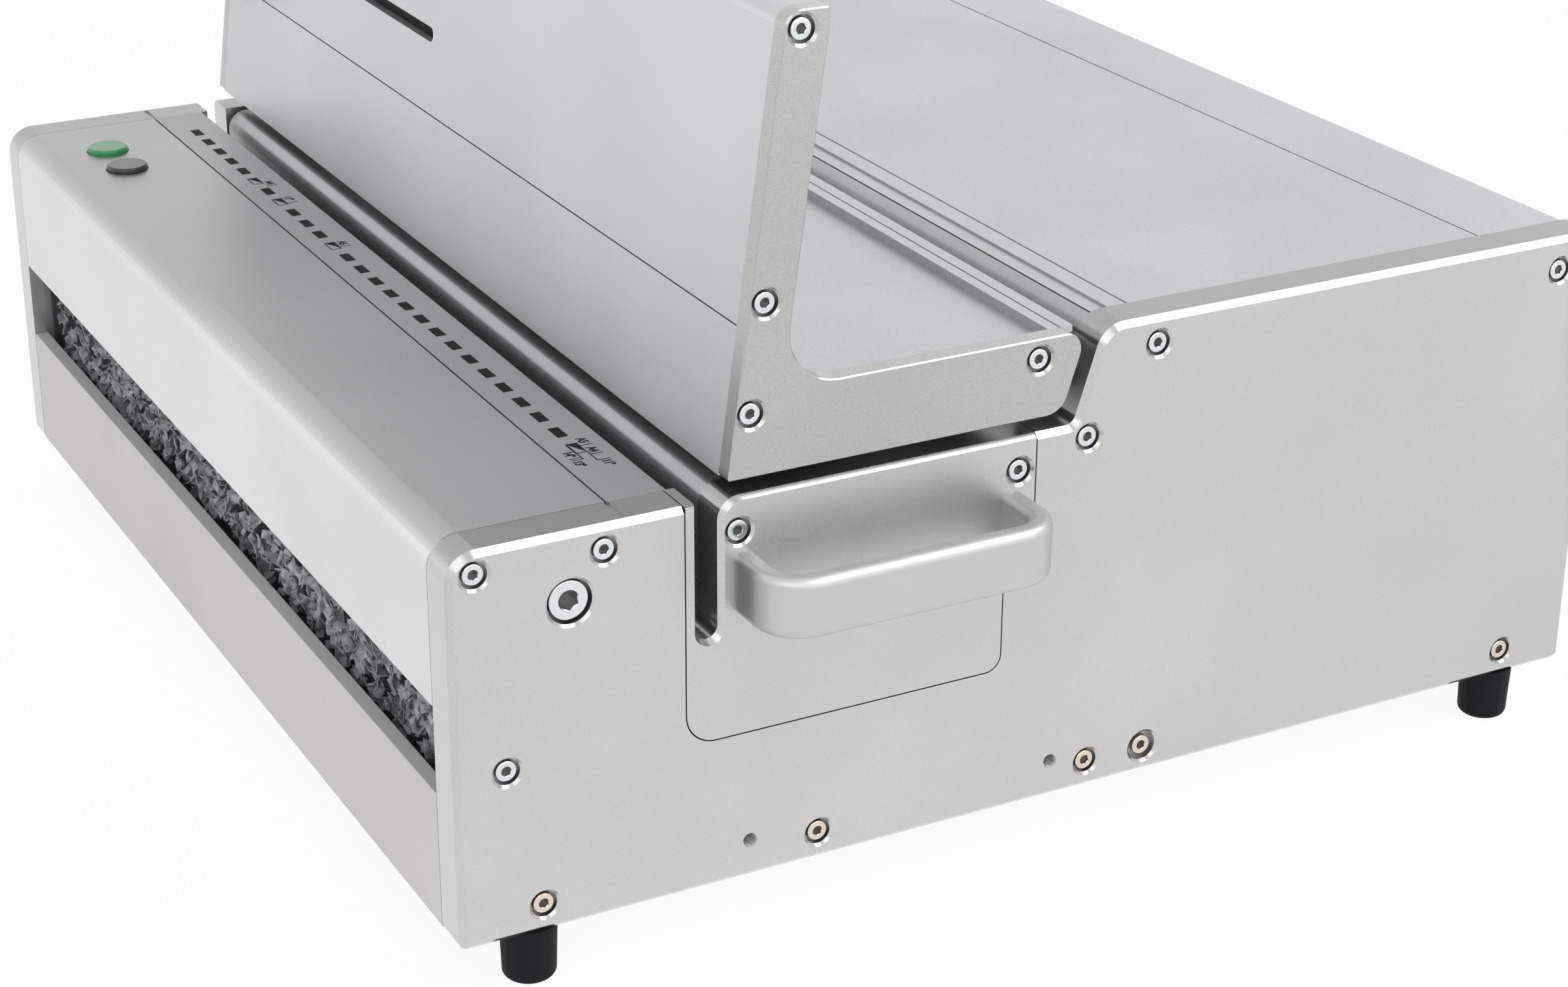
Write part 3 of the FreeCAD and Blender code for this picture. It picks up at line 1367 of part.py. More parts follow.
def support_tapped(place):
    """Tapped holes of one support screw, at both ends."""
    depth = m4_bore_depth + support_screw_length - support_plate
    hole = Part.makeCylinder(m4_radius, depth, at(place[0], place[1], x_right - support_plate), ALONG_X * -1)
    return [hole, mirror_x(hole)]


def support_boss(u0, u1, v0, v1):
    """Blocks behind the support's end plates that take a screw."""
    depth = m4_bore_depth + support_screw_length - support_plate
    x1 = x_right - support_plate
    solid = block(x1 - depth, x1, u0, u1, v0, v1)
    return [solid, mirror_x(solid)]


def face_panels(x0, x1):
    """Lower and upper face of the support."""
    top, mid = support_top_v, parting_v
    low_top = mid - parting_gap / 2
    high_bottom = mid + parting_gap / 2
    screw_u, screw_v = support_screws[2]
    lower = profile([
        (support_front_u, support_bottom_v), (face_u(low_top), low_top), (face_u(low_top) + face_wall, low_top),
        (support_front_u + face_wall, support_bottom_v),
    ], x0, x1)
    bosses = support_boss(face_u(screw_v) + face_wall / 2, screw_u + boss_radius, screw_v - boss_radius, screw_v + boss_radius)
    lower = cut(fuse([lower, *bosses]), support_tapped(support_screws[2]))
    upper = profile([
        (face_u(high_bottom), high_bottom), (face_u(top), top, support_front_corner),
        (support_leg_rear(top), top, support_back_corner), (support_leg_rear(high_bottom), high_bottom),
    ], x0, x1)
    hollow_bottom, hollow_top = high_bottom + face_wall, top - face_wall
    hollow = profile([
        (face_u(hollow_bottom) + face_wall, hollow_bottom), (face_u(hollow_top) + face_wall, hollow_top, face_wall),
        (support_leg_rear(hollow_top) - back_wall, hollow_top), (support_leg_rear(hollow_bottom) - back_wall, hollow_bottom),
    ], x0, x1)
    upper = upper.cut(hollow)
    for u, v in support_screws[:2]:
        upper = upper.fuse(Part.makeCompound(support_boss(
            u - boss_radius, u + boss_radius, v - boss_radius, v + boss_radius,
        )))
    rounding = profile([
        (face_u(high_bottom), high_bottom), (face_u(top), top, support_front_corner),
        (support_leg_rear(top), top, support_back_corner), (support_leg_rear(high_bottom), high_bottom),
    ], x0, x1)
    upper = upper.common(rounding).removeSplitter()
    upper = cut(upper, support_tapped(support_screws[0]) + support_tapped(support_screws[1]))
    return lower, upper.cut(guide_slot())


def guide_slot():
    """Round-ended slot through the upper face."""
    half = slot_height / 2
    sx0, sx1 = x_left + slot_left_inset + half, x_right - slot_right_inset - half
    u0, u1 = face_u(slot_v) - 2 * face_wall, face_u(slot_v) + 2 * face_wall
    ends = [
        Part.makeCylinder(half, u1 - u0, at(u0, slot_v, x), ALONG_Y) for x in (sx0, sx1)
    ]
    return fuse([block(sx0, sx1, u0, u1, slot_v - half, slot_v + half), *ends])


def support_parts():
    """The folding paper support and its side guide."""
    x0, x1 = x_left + support_plate, x_right - support_plate
    lower, upper = face_panels(x0, x1)
    shelf_rear = rim_u - web_thickness
    top, under = shelf_v, shelf_v - shelf_thickness
    leg_v = parting_v - parting_gap / 2
    screw_u, screw_v = support_screws[3]
    shelf = profile([
        (shelf_rear, top), (support_leg_rear(top), top, support_inner_corner - shelf_thickness),
        (support_leg_rear(leg_v), leg_v), (support_leg_rear(leg_v) - shelf_thickness, leg_v),
        (support_leg_rear(under) - shelf_thickness, under, support_inner_corner), (shelf_rear, under),
    ], x0, x1)
    bosses = support_boss(screw_u - boss_radius, shelf_rear, screw_v - boss_radius, under)
    shelf = cut(fuse([shelf, *bosses]), support_tapped(support_screws[3]))
    rim_under = rear_height - rim_thickness
    rim = profile([
        (shelf_rear, web_bottom_v), (shelf_rear, shelf_v), (rim_u, shelf_v), (rim_u, rear_height),
        (rim_rear_u, rear_height), (rim_rear_u, rim_under), (rim_u + rim_web_slant, rim_under),
        (rim_u, rim_under - rim_web_slant), (rim_u, web_bottom_v),
    ], x0, x1)
    groove = block(
        x0, x1, rim_groove_u - rim_groove_width / 2, rim_groove_u + rim_groove_width / 2,
        rear_height - rim_groove_depth, rear_height,
    )
    end = support_end()
    screws = []
    for place in support_screws:
        screw = m4_screw(place, x_right, length=support_screw_length)
        screws += [screw, mirror_x(screw)]
    return {
        "support_ends": Part.makeCompound([end, mirror_x(end)]),
        "support_face_lower": lower, "support_face_upper": upper, "support_shelf": shelf,
        "support_rear_rail": rim.cut(groove), "support_screws": Part.makeCompound(screws),
        **guide_parts(x0),
    }


def guide_parts(x0):
    """Side guide on the front of the face, with its clamp behind the slot."""
    gx0 = x0 + guide_from_left
    gx1 = gx0 + guide_width
    gap = guide_face_gap
    v0, v1 = slot_v - guide_rise / 2, slot_v + guide_rise / 2
    plate = profile([
        (face_u(v0) - gap - guide_reach, v0, 2.0), (face_u(v1) - gap - guide_reach, v1, 2.0),
        (face_u(v1) - gap, v1), (face_u(v0) - gap, v0),
    ], gx0, gx1)
    half = slot_height / 2 - guide_slot_play
    middle = (gx0 + gx1) / 2
    inner = face_u(slot_v) + face_wall + gap
    bolt = Part.makeCylinder(half, face_wall + 2 * gap + 1.5, at(face_u(slot_v) - gap - 0.6, slot_v, middle), ALONG_Y)
    margin = half + clamp_margin
    clamp = profile([
        (inner + support_slope * -margin, slot_v - margin), (inner + support_slope * margin, slot_v + margin),
        (inner + support_slope * margin + clamp_thickness, slot_v + margin),
        (inner + support_slope * -margin + clamp_thickness, slot_v - margin),
    ], middle - margin, middle + margin)
    clamp = fuse([clamp, bolt]).cut(plate)
    return {"side_guide": fuse([plate, clamp])}


def hinge_parts():
    """Brackets behind the rail and the pins that the support turns on."""
    bx1 = inner_right - bracket_inset
    bx0 = bx1 - bracket_width
    arm_u = hinge_u - hinge_arm_lead
    foot_v = hinge_v - hinge_arm_drop

    def rise_face(v):
        return rise_u + rise_slope * (v - front_height)

    arm = profile([
        (arm_u, hinge_v), (arm_u, foot_v), (rise_face(foot_v), foot_v),
        (rise_face(foot_v + hinge_foot_height), foot_v + hinge_foot_height),
        (arm_u + hinge_arm, foot_v + hinge_foot_height), (arm_u + hinge_arm, hinge_v),
    ], bx0, bx1)
    eye = rod_x(bx0, bx1, (hinge_u, hinge_v), hinge_eye_radius)
    bracket = fuse([arm, eye]).cut(rod_x(bx0, bx1, (hinge_u, hinge_v), hinge_pin_radius))
    pin = rod_x(bx0, x_right - support_plate + pin_bite, (hinge_u, hinge_v), hinge_pin_radius)
    return {
        "hinge_brackets": Part.makeCompound([bracket, mirror_x(bracket)]),
        "hinge_pins": Part.makeCompound([pin, mirror_x(pin)]),
    }


# --------------------------------------------------------------------------- output
def all_parts():
    """Every piece by name."""
    groups = (
        end_plates, plate_fasteners, frame_parts, feet, front_parts, drawer_parts, rear_parts, cassette_parts,
        pin_bar_parts, ram_parts, drive_parts, electric_parts, support_parts, hinge_parts,
    )
    pieces = {}
    for group in groups:
        pieces.update(group())
    return pieces


os.makedirs("parts", exist_ok=True)
for name, shape in all_parts().items():
    solids_of(shape).exportStep(os.path.join("parts", name + ".step"))
    print(name, len(shape.Solids), round(shape.Volume), shape.isValid())
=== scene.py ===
"""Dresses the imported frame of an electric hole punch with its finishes, marks, chips and screws."""

from __future__ import annotations

import json
import logging
import math
import random
from dataclasses import dataclass, field
from enum import Enum

import bmesh
import bpy
from mathutils import Matrix, Vector

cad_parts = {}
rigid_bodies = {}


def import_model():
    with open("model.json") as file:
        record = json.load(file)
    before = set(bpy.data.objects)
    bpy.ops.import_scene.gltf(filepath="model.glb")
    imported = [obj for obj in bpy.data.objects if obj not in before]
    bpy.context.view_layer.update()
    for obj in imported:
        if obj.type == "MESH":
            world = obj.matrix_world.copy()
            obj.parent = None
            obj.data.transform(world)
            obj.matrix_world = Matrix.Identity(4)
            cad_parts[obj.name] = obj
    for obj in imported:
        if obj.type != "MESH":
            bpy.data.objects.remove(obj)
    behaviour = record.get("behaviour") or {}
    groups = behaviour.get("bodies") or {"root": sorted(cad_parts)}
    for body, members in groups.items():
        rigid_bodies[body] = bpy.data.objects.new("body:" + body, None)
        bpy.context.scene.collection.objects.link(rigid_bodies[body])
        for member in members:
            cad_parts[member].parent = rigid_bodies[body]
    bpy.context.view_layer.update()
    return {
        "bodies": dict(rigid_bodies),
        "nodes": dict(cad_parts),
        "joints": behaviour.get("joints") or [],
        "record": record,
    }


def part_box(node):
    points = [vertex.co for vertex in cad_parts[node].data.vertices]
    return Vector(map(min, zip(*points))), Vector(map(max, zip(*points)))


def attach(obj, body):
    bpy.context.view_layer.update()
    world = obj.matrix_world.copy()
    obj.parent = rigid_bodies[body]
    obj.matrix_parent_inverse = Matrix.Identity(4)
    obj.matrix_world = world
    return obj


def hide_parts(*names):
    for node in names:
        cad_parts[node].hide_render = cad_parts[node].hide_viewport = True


LOG = logging.getLogger("hole_punch")

# Lengths are in metres. Points closer than WELD are one, and places are compared to DIGITS.
MM = 0.001
WELD = 1e-6
DIGITS = 5

# The part of a noise texture's range that its values fill, and what every finish shares.
NOISE_RANGE = (0.3, 0.7)
BROAD_OCTAVES = 2.0
LEAST_ROUGHNESS = 0.02
COAT_ROUGHNESS = 0.12
WHITE = (1.0, 1.0, 1.0, 1.0)

# How far a normal turns towards +Z while the painted shade of the tops comes in, or towards either
# side while a finish changes at the cut edges.
SHADED_TOP_RANGE = (0.3, 0.97)
SIDEWAYS = (0.9, 0.98)

# Roughness and relief of a plate's cut edges, as shares of those of its faces.
CUT_SMOOTHNESS = 0.5
CUT_RELIEF = 0.06


class Grain(Enum):
    """How a finish is worked."""

    BLASTED = "blasted"
    BRUSHED = "brushed"
    MOULDED = "moulded"
    TURNED = "turned"


GRAIN_OCTAVES = {Grain.BLASTED: 4.0, Grain.BRUSHED: 2.0, Grain.MOULDED: 5.0, Grain.TURNED: 1.5}


# ---------------------------------------------------------------- finishes
@dataclass(frozen=True)
class Finish:
    """A procedural finish, with its colour, its grain, its smoother cut edges and, where set, painted
    shade on the faces that look up.
    """

    name: str
    colour: tuple[float, float, float]
    roughness: float
    metallic: float = 1.0
    grain: Grain = Grain.BLASTED
    grain_size: float = 0.6 * MM
    grain_height: float = 0.01 * MM
    speckle: float = 0.06
    tone: float = 0.04
    tone_size: float = 90 * MM
    rough_swing: float = 0.05
    along: tuple[float, float, float] = (1.0, 1.0, 1.0)
    coat: float = 0.0
    bump: float = 0.35
    specular: float = 0.5
    cut_edges: bool = False
    # Share of the colour kept on faces that look up: painted shade on the tops.
    painted_top_shade: float = 1.0

    def build(self) -> bpy.types.Material:
        """Makes the material of this finish.

        Returns:
            The material, with grain, tone and roughness from its nodes.
        """
        material = bpy.data.materials.new(self.name)
        material.use_nodes = True
        tree = material.node_tree
        shader = tree.nodes["Principled BSDF"]
        shader.inputs["Metallic"].default_value = self.metallic
        shader.inputs["Coat Weight"].default_value = self.coat
        shader.inputs["Coat Roughness"].default_value = COAT_ROUGHNESS
        shader.inputs["Specular IOR Level"].default_value = self.specular
        place = tree.nodes.new("ShaderNodeTexCoord")
        mapping = tree.nodes.new("ShaderNodeMapping")
        mapping.inputs["Scale"].default_value = self.along
        tree.links.new(place.outputs["Object"], mapping.inputs["Vector"])
        octaves = GRAIN_OCTAVES[self.grain]
        fine = noise(tree, mapping.outputs["Vector"], 1.0 / self.grain_size, octaves)
        broad = noise(tree, place.outputs["Object"], 1.0 / self.tone_size, BROAD_OCTAVES)
        fine_swing = span(tree, fine, NOISE_RANGE, (1.0 - self.speckle, 1.0 + self.speckle))
        broad_swing = span(tree, broad, NOISE_RANGE, (1.0 - self.tone, 1.0 + self.tone))
        tone = combine(tree, "MULTIPLY", fine_swing, broad_swing)
        # Paints shade on the faces that look up.
        if self.painted_top_shade != 1.0:
            tone = self.paint_shade_on_top(tree, place, tone)
        paint = tree.nodes.new("ShaderNodeVectorMath")
        paint.operation = "SCALE"
        paint.inputs[0].default_value = self.colour
        tree.links.new(tone, paint.inputs["Scale"])
        tree.links.new(paint.outputs[0], shader.inputs["Base Color"])
        smoothest = max(LEAST_ROUGHNESS, self.roughness - self.rough_swing)
        rough = span(tree, fine, NOISE_RANGE, (smoothest, self.roughness + self.rough_swing))
        relief = tree.nodes.new("ShaderNodeBump")
        relief.inputs["Strength"].default_value = self.bump
        if self.cut_edges:
            rough = self.smoother_edges(tree, place, rough, relief)
        tree.links.new(rough, shader.inputs["Roughness"])
        relief.inputs["Distance"].default_value = self.grain_height
        tree.links.new(fine, relief.inputs["Height"])
        tree.links.new(relief.outputs["Normal"], shader.inputs["Normal"])
        return material

    def paint_shade_on_top(
        self, tree: bpy.types.NodeTree, place: bpy.types.Node, tone: bpy.types.NodeSocket
    ) -> bpy.types.NodeSocket:
        """Paints shade on the surfaces that look up, so that they are darker than the upright ones.

        Args:
            tree: the material's node tree.
            place: its texture coordinates.
            tone: tone of the other surfaces.

        Returns:
            Tone over the whole piece.
        """
        parts = tree.nodes.new("ShaderNodeSeparateXYZ")
        tree.links.new(place.outputs["Normal"], parts.inputs["Vector"])
        share = span(tree, parts.outputs["Z"], SHADED_TOP_RANGE, (1.0, self.painted_top_shade))
        return combine(tree, "MULTIPLY", tone, share)

    def smoother_edges(
        self, tree: bpy.types.NodeTree, place: bpy.types.Node,
        rough: bpy.types.NodeSocket, relief: bpy.types.Node,
    ) -> bpy.types.NodeSocket:
        """Makes the cut edges of a plate smoother than its two blasted faces.

        Args:
            tree: the material's node tree.
            place: its texture coordinates.
            rough: roughness of the faces.
            relief: the bump of the faces, which the edges have little of.

        Returns:
            Roughness over the whole plate.
        """
        parts = tree.nodes.new("ShaderNodeSeparateXYZ")
        tree.links.new(place.outputs["Normal"], parts.inputs["Vector"])
        size = tree.nodes.new("ShaderNodeMath")
        size.operation = "ABSOLUTE"
        tree.links.new(parts.outputs["X"], size.inputs[0])
        height = span(tree, size.outputs[0], SIDEWAYS, (CUT_RELIEF * self.bump, self.bump))
        tree.links.new(height, relief.inputs["Strength"])
        share = span(tree, size.outputs[0], SIDEWAYS, (CUT_SMOOTHNESS, 1.0))
        return combine(tree, "MULTIPLY", rough, share)


def noise(
    tree: bpy.types.NodeTree, vector: bpy.types.NodeSocket, scale: float, detail: float
) -> bpy.types.NodeSocket:
    """Adds a noise texture.

    Args:
        tree: the material's node tree.
        vector: the coordinates that the noise reads.
        scale: features per metre.
        detail: how many octaves it has.

    Returns:
        The socket of its value.
    """
    node = tree.nodes.new("ShaderNodeTexNoise")
    node.inputs["Scale"].default_value = scale
    node.inputs["Detail"].default_value = detail
    tree.links.new(vector, node.inputs["Vector"])
    return node.outputs["Fac"]


def combine(
    tree: bpy.types.NodeTree, operation: str, one: bpy.types.NodeSocket, two: bpy.types.NodeSocket
) -> bpy.types.NodeSocket:
    """Combines two values.

    Args:
        tree: the node tree.
        operation: the Math node's operation.
        one: the first value.
        two: the second value.

    Returns:
        The socket of the result.
    """
    node = tree.nodes.new("ShaderNodeMath")
    node.operation = operation
    tree.links.new(one, node.inputs[0])
    tree.links.new(two, node.inputs[1])
    return node.outputs[0]


def span(
    tree: bpy.types.NodeTree, value: bpy.types.NodeSocket,
    read: tuple[float, float], given: tuple[float, float],
) -> bpy.types.NodeSocket:
    """Maps a value from one range to another.

    Args:
        tree: the material's node tree.
        value: the socket to map.
        read: the range that is read.
        given: what its two ends become.

    Returns:
        The socket of the mapped value.
    """
    node = tree.nodes.new("ShaderNodeMapRange")
    node.inputs["From Min"].default_value, node.inputs["From Max"].default_value = read
    node.inputs["To Min"].default_value, node.inputs["To Max"].default_value = given
    tree.links.new(value, node.inputs["Value"])
    return node.outputs["Result"]


@dataclass(frozen=True)
class ClearPane:
    """The clear acrylic of the drawer's window."""

    name: str = "clear_acrylic"
    colour: tuple[float, float, float] = (0.05, 0.055, 0.06)
    roughness: float = 0.03
    index: float = 1.49
    alpha: float = 0.06
    specular: float = 0.12
    dust_scale: float = 400.0
    dust_octaves: float = 3.0
    dust_range: tuple[float, float] = (0.35, 0.75)
    dust_roughness: float = 0.12

    def build(self) -> bpy.types.Material:
        """Makes a clear pane with faint dust.

        Returns:
            The material, see-through with a gloss.
        """
        material = bpy.data.materials.new(self.name)
        material.use_nodes = True
        tree = material.node_tree
        shader = tree.nodes["Principled BSDF"]
        shader.inputs["Base Color"].default_value = (*self.colour, 1.0)
        shader.inputs["Metallic"].default_value = 0.0
        shader.inputs["IOR"].default_value = self.index
        shader.inputs["Specular IOR Level"].default_value = self.specular
        shader.inputs["Alpha"].default_value = self.alpha
        place = tree.nodes.new("ShaderNodeTexCoord")
        dust = noise(tree, place.outputs["Object"], self.dust_scale, self.dust_octaves)
        rough = span(tree, dust, self.dust_range, (self.roughness, self.dust_roughness))
        tree.links.new(rough, shader.inputs["Roughness"])
        return material


# The plates' tops carry painted shade, darker than their upright faces.
SATIN = Finish(
    "satin_aluminium", (0.592, 0.589, 0.585), 0.42, metallic=0.92, speckle=0.05,
    cut_edges=True, painted_top_shade=0.64,
)
SUPPORT_SATIN = Finish(
    "support_end_satin", (0.495, 0.494, 0.49), 0.42, metallic=0.92, speckle=0.09, cut_edges=True,
)
FACE_SATIN = Finish(
    "smooth_satin_face", (0.595, 0.599, 0.613), 0.40, metallic=0.85, speckle=0.02, bump=0.12,
)
DRAWER_SATIN = Finish(
    "drawer_front_satin", (0.6, 0.593, 0.588), 0.5, metallic=0.05, speckle=0.02, bump=0.12,
)
# The cover's top carries painted shade, darker than its front.
COVER_SATIN = Finish(
    "front_cover_satin", (0.71, 0.714, 0.718), 0.36, metallic=0.9, speckle=0.06, painted_top_shade=0.63,
)
SHEET_SATIN = Finish(
    "cover_sheet_satin", (0.545, 0.557, 0.571), 0.40, metallic=0.85, speckle=0.08,
    grain_size=0.8 * MM,
)
BAND = Finish(
    "fairing_satin", (0.42, 0.428, 0.432), 0.24, metallic=0.9, speckle=0.01,
    rough_swing=0.01, bump=0.0,
)
STRIP = Finish("scale_strip_satin", (0.42, 0.424, 0.428), 0.42, metallic=0.85, speckle=0.04)
NOSE = Finish(
    "brushed_nose", (0.44, 0.444, 0.453), 0.27, metallic=0.75, grain=Grain.BRUSHED,
    along=(0.05, 1.0, 1.0), grain_size=0.5 * MM, speckle=0.03, rough_swing=0.03, bump=0.05,
)
GROUND = Finish(
    "ground_steel", (0.55, 0.55, 0.56), 0.32, grain=Grain.BRUSHED,
    along=(0.06, 1.0, 1.0), speckle=0.08,
)
HOBBED = Finish("hobbed_steel", (0.45, 0.45, 0.46), 0.33, grain=Grain.TURNED, along=(6.0, 1.0, 1.0))
ZINC = Finish("zinc_screw", (0.74, 0.77, 0.78), 0.2, speckle=0.04, grain_size=0.4 * MM, bump=0.15)
# Screws of the low row: the same zinc painted warmer, a painted reflection of the warm floor below
# them.
ZINC_PAINTED_WARM = Finish("zinc_painted_floor_warmth", (0.72, 0.64, 0.55), 0.2, speckle=0.05, grain_size=0.4 * MM, bump=0.15)
# Near black inside the hex sockets: painted shade in the recess.
SOCKET_SHADE = Finish(
    "painted_socket_shade", (0.10, 0.10, 0.095), 0.3, speckle=0.1, grain_size=0.4 * MM, bump=0.15,
)
HANDLE = Finish(
    "handle_satin", (0.58, 0.585, 0.575), 0.42, metallic=0.9, speckle=0.02,
    rough_swing=0.02, grain_size=0.3 * MM, bump=0.05,
)
RUBBER = Finish(
    "foot_rubber", (0.010, 0.010, 0.012), 0.62, metallic=0.0, grain=Grain.MOULDED,
    speckle=0.2, specular=0.12, grain_size=1.2 * MM,
)
BLACK = Finish(
    "black_plastic", (0.02, 0.02, 0.022), 0.45, metallic=0.0, grain=Grain.MOULDED, speckle=0.1,
)
GLOSS_BLACK = Finish(
    "gloss_black_cap", (0.012, 0.012, 0.014), 0.18, metallic=0.0, grain=Grain.MOULDED, coat=0.4,
)
GLOSS_GREEN = Finish(
    "gloss_green_cap", (0.02, 0.26, 0.07), 0.2, metallic=0.0, grain=Grain.MOULDED, coat=0.4,
)
BIN = Finish(
    "bin_plastic", (0.03, 0.03, 0.033), 0.5, metallic=0.0, grain=Grain.MOULDED, speckle=0.1,
)
CHIP = Finish(
    "paper_chip", (0.4, 0.392, 0.425), 0.75, metallic=0.0, speckle=0.12, tone=0.55,
    grain_size=1.5 * MM, tone_size=4 * MM, specular=0.3,
)
# Near black: painted shade deep in the heap, seen in the gaps between the loose chips.
CHIP_CORE_SHADE = Finish(
    "chip_core_painted_shade", (0.012, 0.012, 0.014), 0.9, metallic=0.0, speckle=0.3, tone=0.5,
    grain_size=2.5 * MM, tone_size=6 * MM, specular=0.1,
)
PRINT = Finish("black_print", (0.009, 0.009, 0.010), 0.6, metallic=0.0, speckle=0.1, specular=0.12)
MOTOR = Finish("motor_paint", (0.06, 0.065, 0.08), 0.4, metallic=0.0, speckle=0.1)
CAST = Finish(
    "cast_housing", (0.20, 0.21, 0.22), 0.5, metallic=0.6, speckle=0.15, grain_size=1.5 * MM,
)
BOARD = Finish("solder_mask", (0.015, 0.14, 0.05), 0.3, metallic=0.0, grain=Grain.MOULDED, coat=0.3)
CORE = Finish(
    "laminated_core", (0.22, 0.17, 0.12), 0.5, metallic=0.5, along=(1.0, 1.0, 8.0), speckle=0.2,
)
PANE = ClearPane()

NODE_FINISHES: dict[str, Finish | ClearPane] = {
    "right_end_plate": SATIN, "left_end_plate": SATIN, "end_plate_screws": ZINC,
    "tie_bar_bolts": ZINC, "bottom_plate": SHEET_SATIN, "front_tie_bar": GROUND,
    "cassette_bed": GROUND, "drawer_rails": GROUND, "chip_guide_wall": SHEET_SATIN,
    "rubber_feet": RUBBER, "foot_screws": ZINC, "front_cover": COVER_SATIN, "scale_strip": STRIP,
    "button_housing": BLACK, "rear_fairing": BAND, "rear_cover": SHEET_SATIN,
    "rear_hood": SHEET_SATIN, "ram_guides": GROUND, "shaft_bearings": HOBBED,
    "bearing_blocks": GROUND, "gearbox": CAST, "motor": MOTOR, "gearbox_mount": CAST,
    "control_board": BOARD, "transformer": CORE, "power_inlet": BLACK,
    "foot_switch_socket": BLACK, "switch_housing": BLACK, "hinge_brackets": GROUND,
    "hinge_pins": HOBBED, "drawer_front": DRAWER_SATIN, "drawer_window": PANE, "drawer_bin": BIN,
    "paper_chips": CHIP, "die_end_plate": SATIN, "die_handle": HANDLE, "cassette_screws": ZINC,
    "female_die": NOSE, "die_base_bar": NOSE, "pin_guide_bar": NOSE, "cassette_cover": NOSE,
    "cassette_far_plate": NOSE, "pin_bar": GROUND, "punch_pins": HOBBED, "ram": GROUND,
    "ram_yokes": GROUND, "eccentric_shaft": HOBBED, "drive_gear": HOBBED, "pinion": HOBBED,
    "start_button": GLOSS_GREEN, "reverse_button": GLOSS_BLACK, "switch_rocker": GLOSS_BLACK,
    "support_ends": SUPPORT_SATIN, "support_face_lower": FACE_SATIN,
    "support_face_upper": FACE_SATIN, "support_shelf": SHEET_SATIN,
    "support_rear_rail": SHEET_SATIN, "support_screws": ZINC, "side_guide": GROUND,
}


class Workshop:
    """Keeps each finish's material and dresses pieces with it."""

    def __init__(self, frame: dict) -> None:
        """Takes the loaded frame.
        """
        self.frame = frame
        self.materials: dict[str, bpy.types.Material] = {}

    def material(self, finish: Finish | ClearPane) -> bpy.types.Material:
        """The material of a finish, made once.

        Args:
            finish: the finish wanted.

        Returns:
            Its material.
        """
        if finish.name not in self.materials:
            self.materials[finish.name] = finish.build()
        return self.materials[finish.name]

    def dress_nodes(self) -> None:
        """Gives every node of the frame its finish."""
        for name, node in self.frame["nodes"].items():
            if not node.material_slots:
                node.data.materials.append(None)
            for holder in node.material_slots:
                holder.material = self.material(NODE_FINISHES[name])

    def place(
        self, piece: bpy.types.Object, finish: Finish, body: str, slot: str, *replaced: str
    ) -> None:
        """Dresses a new piece and lets it ride on a body.

        Args:
            piece: the finished piece.
            finish: its finish, where it has none yet.
            body: the body that it rides on.
            slot: the record's material slot, not used.
            replaced: nodes that it stands for.
        """
        if not piece.data.materials:
            piece.data.materials.append(self.material(finish))
        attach(piece, body)
        if replaced:
            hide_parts(*replaced)
        LOG.info("%s rides on %s", piece.name, body)


# ---------------------------------------------------------------- modelling helpers
def deselect() -> None:
    """Leaves no object selected."""
    for thing in bpy.context.view_layer.objects:
        thing.select_set(False)


def only(piece: bpy.types.Object) -> None:
    """Selects one object and makes it active.

    Args:
        piece: the object.
    """
    deselect()
    piece.select_set(True)
    bpy.context.view_layer.objects.active = piece


def apply_all(piece: bpy.types.Object) -> None:
    """Applies a piece's modifiers in order.

    Args:
        piece: the object.
    """
    only(piece)
    for modifier in list(piece.modifiers):
        bpy.ops.object.modifier_apply(modifier=modifier.name)


def settle(piece: bpy.types.Object) -> None:
    """Puts a piece's place into its mesh.

    Args:
        piece: the object.
    """
    only(piece)
    bpy.ops.object.transform_apply(location=True, rotation=True, scale=True)


def join(name: str, parts: list[bpy.types.Object]) -> bpy.types.Object:
    """Joins parts into one piece.

    Args:
        name: the piece's name.
        parts: the objects to join.

    Returns:
        The piece.
    """
    deselect()
    for part in parts:
        part.select_set(True)
    bpy.context.view_layer.objects.active = parts[0]
    if len(parts) > 1:
        bpy.ops.object.join()
    piece = bpy.context.view_layer.objects.active
    piece.name = name
    piece.data.name = name
    return piece


def copies(template: bpy.types.Object, places: list[Matrix], name: str) -> bpy.types.Object:
    """Copies a part's mesh to many places and makes one piece of them.

    Args:
        template: the part, which is removed.
        places: where each copy goes.
        name: the piece's name.

    Returns:
        The piece.
    """
    shape = bmesh.new()
    for place in places:
        spare = template.data.copy()
        spare.transform(place)
        shape.from_mesh(spare)
        bpy.data.meshes.remove(spare)
    mesh = bpy.data.meshes.new(name)
    shape.to_mesh(mesh)
    shape.free()
    for material in template.data.materials:
        mesh.materials.append(material)
    bpy.data.objects.remove(template)
    piece = bpy.data.objects.new(name, mesh)
    bpy.context.scene.collection.objects.link(piece)
    return piece


def islands(node: bpy.types.Object) -> list[tuple[Vector, Vector]]:
    """Finds the separate solids of a node.

    Args:
        node: a node of the frame.

    Returns:
        The lowest and highest corner of each solid.
    """
    shape = bmesh.new()
    shape.from_mesh(node.data)
    bmesh.ops.remove_doubles(shape, verts=shape.verts, dist=WELD)
    left = set(shape.verts)
    found = []
    while left:
        stack = [left.pop()]
        corners = [stack[0].co.copy()]
        while stack:
            for edge in stack.pop().link_edges:
                for vert in edge.verts:
                    if vert in left:
                        left.remove(vert)
                        stack.append(vert)
                        corners.append(vert.co.copy())
        low = Vector([min(c[i] for c in corners) for i in range(3)])
        high = Vector([max(c[i] for c in corners) for i in range(3)])
        found.append((low, high))
    shape.free()
    return sorted(found, key=lambda pair: tuple(round(v, DIGITS) for v in pair[0]))


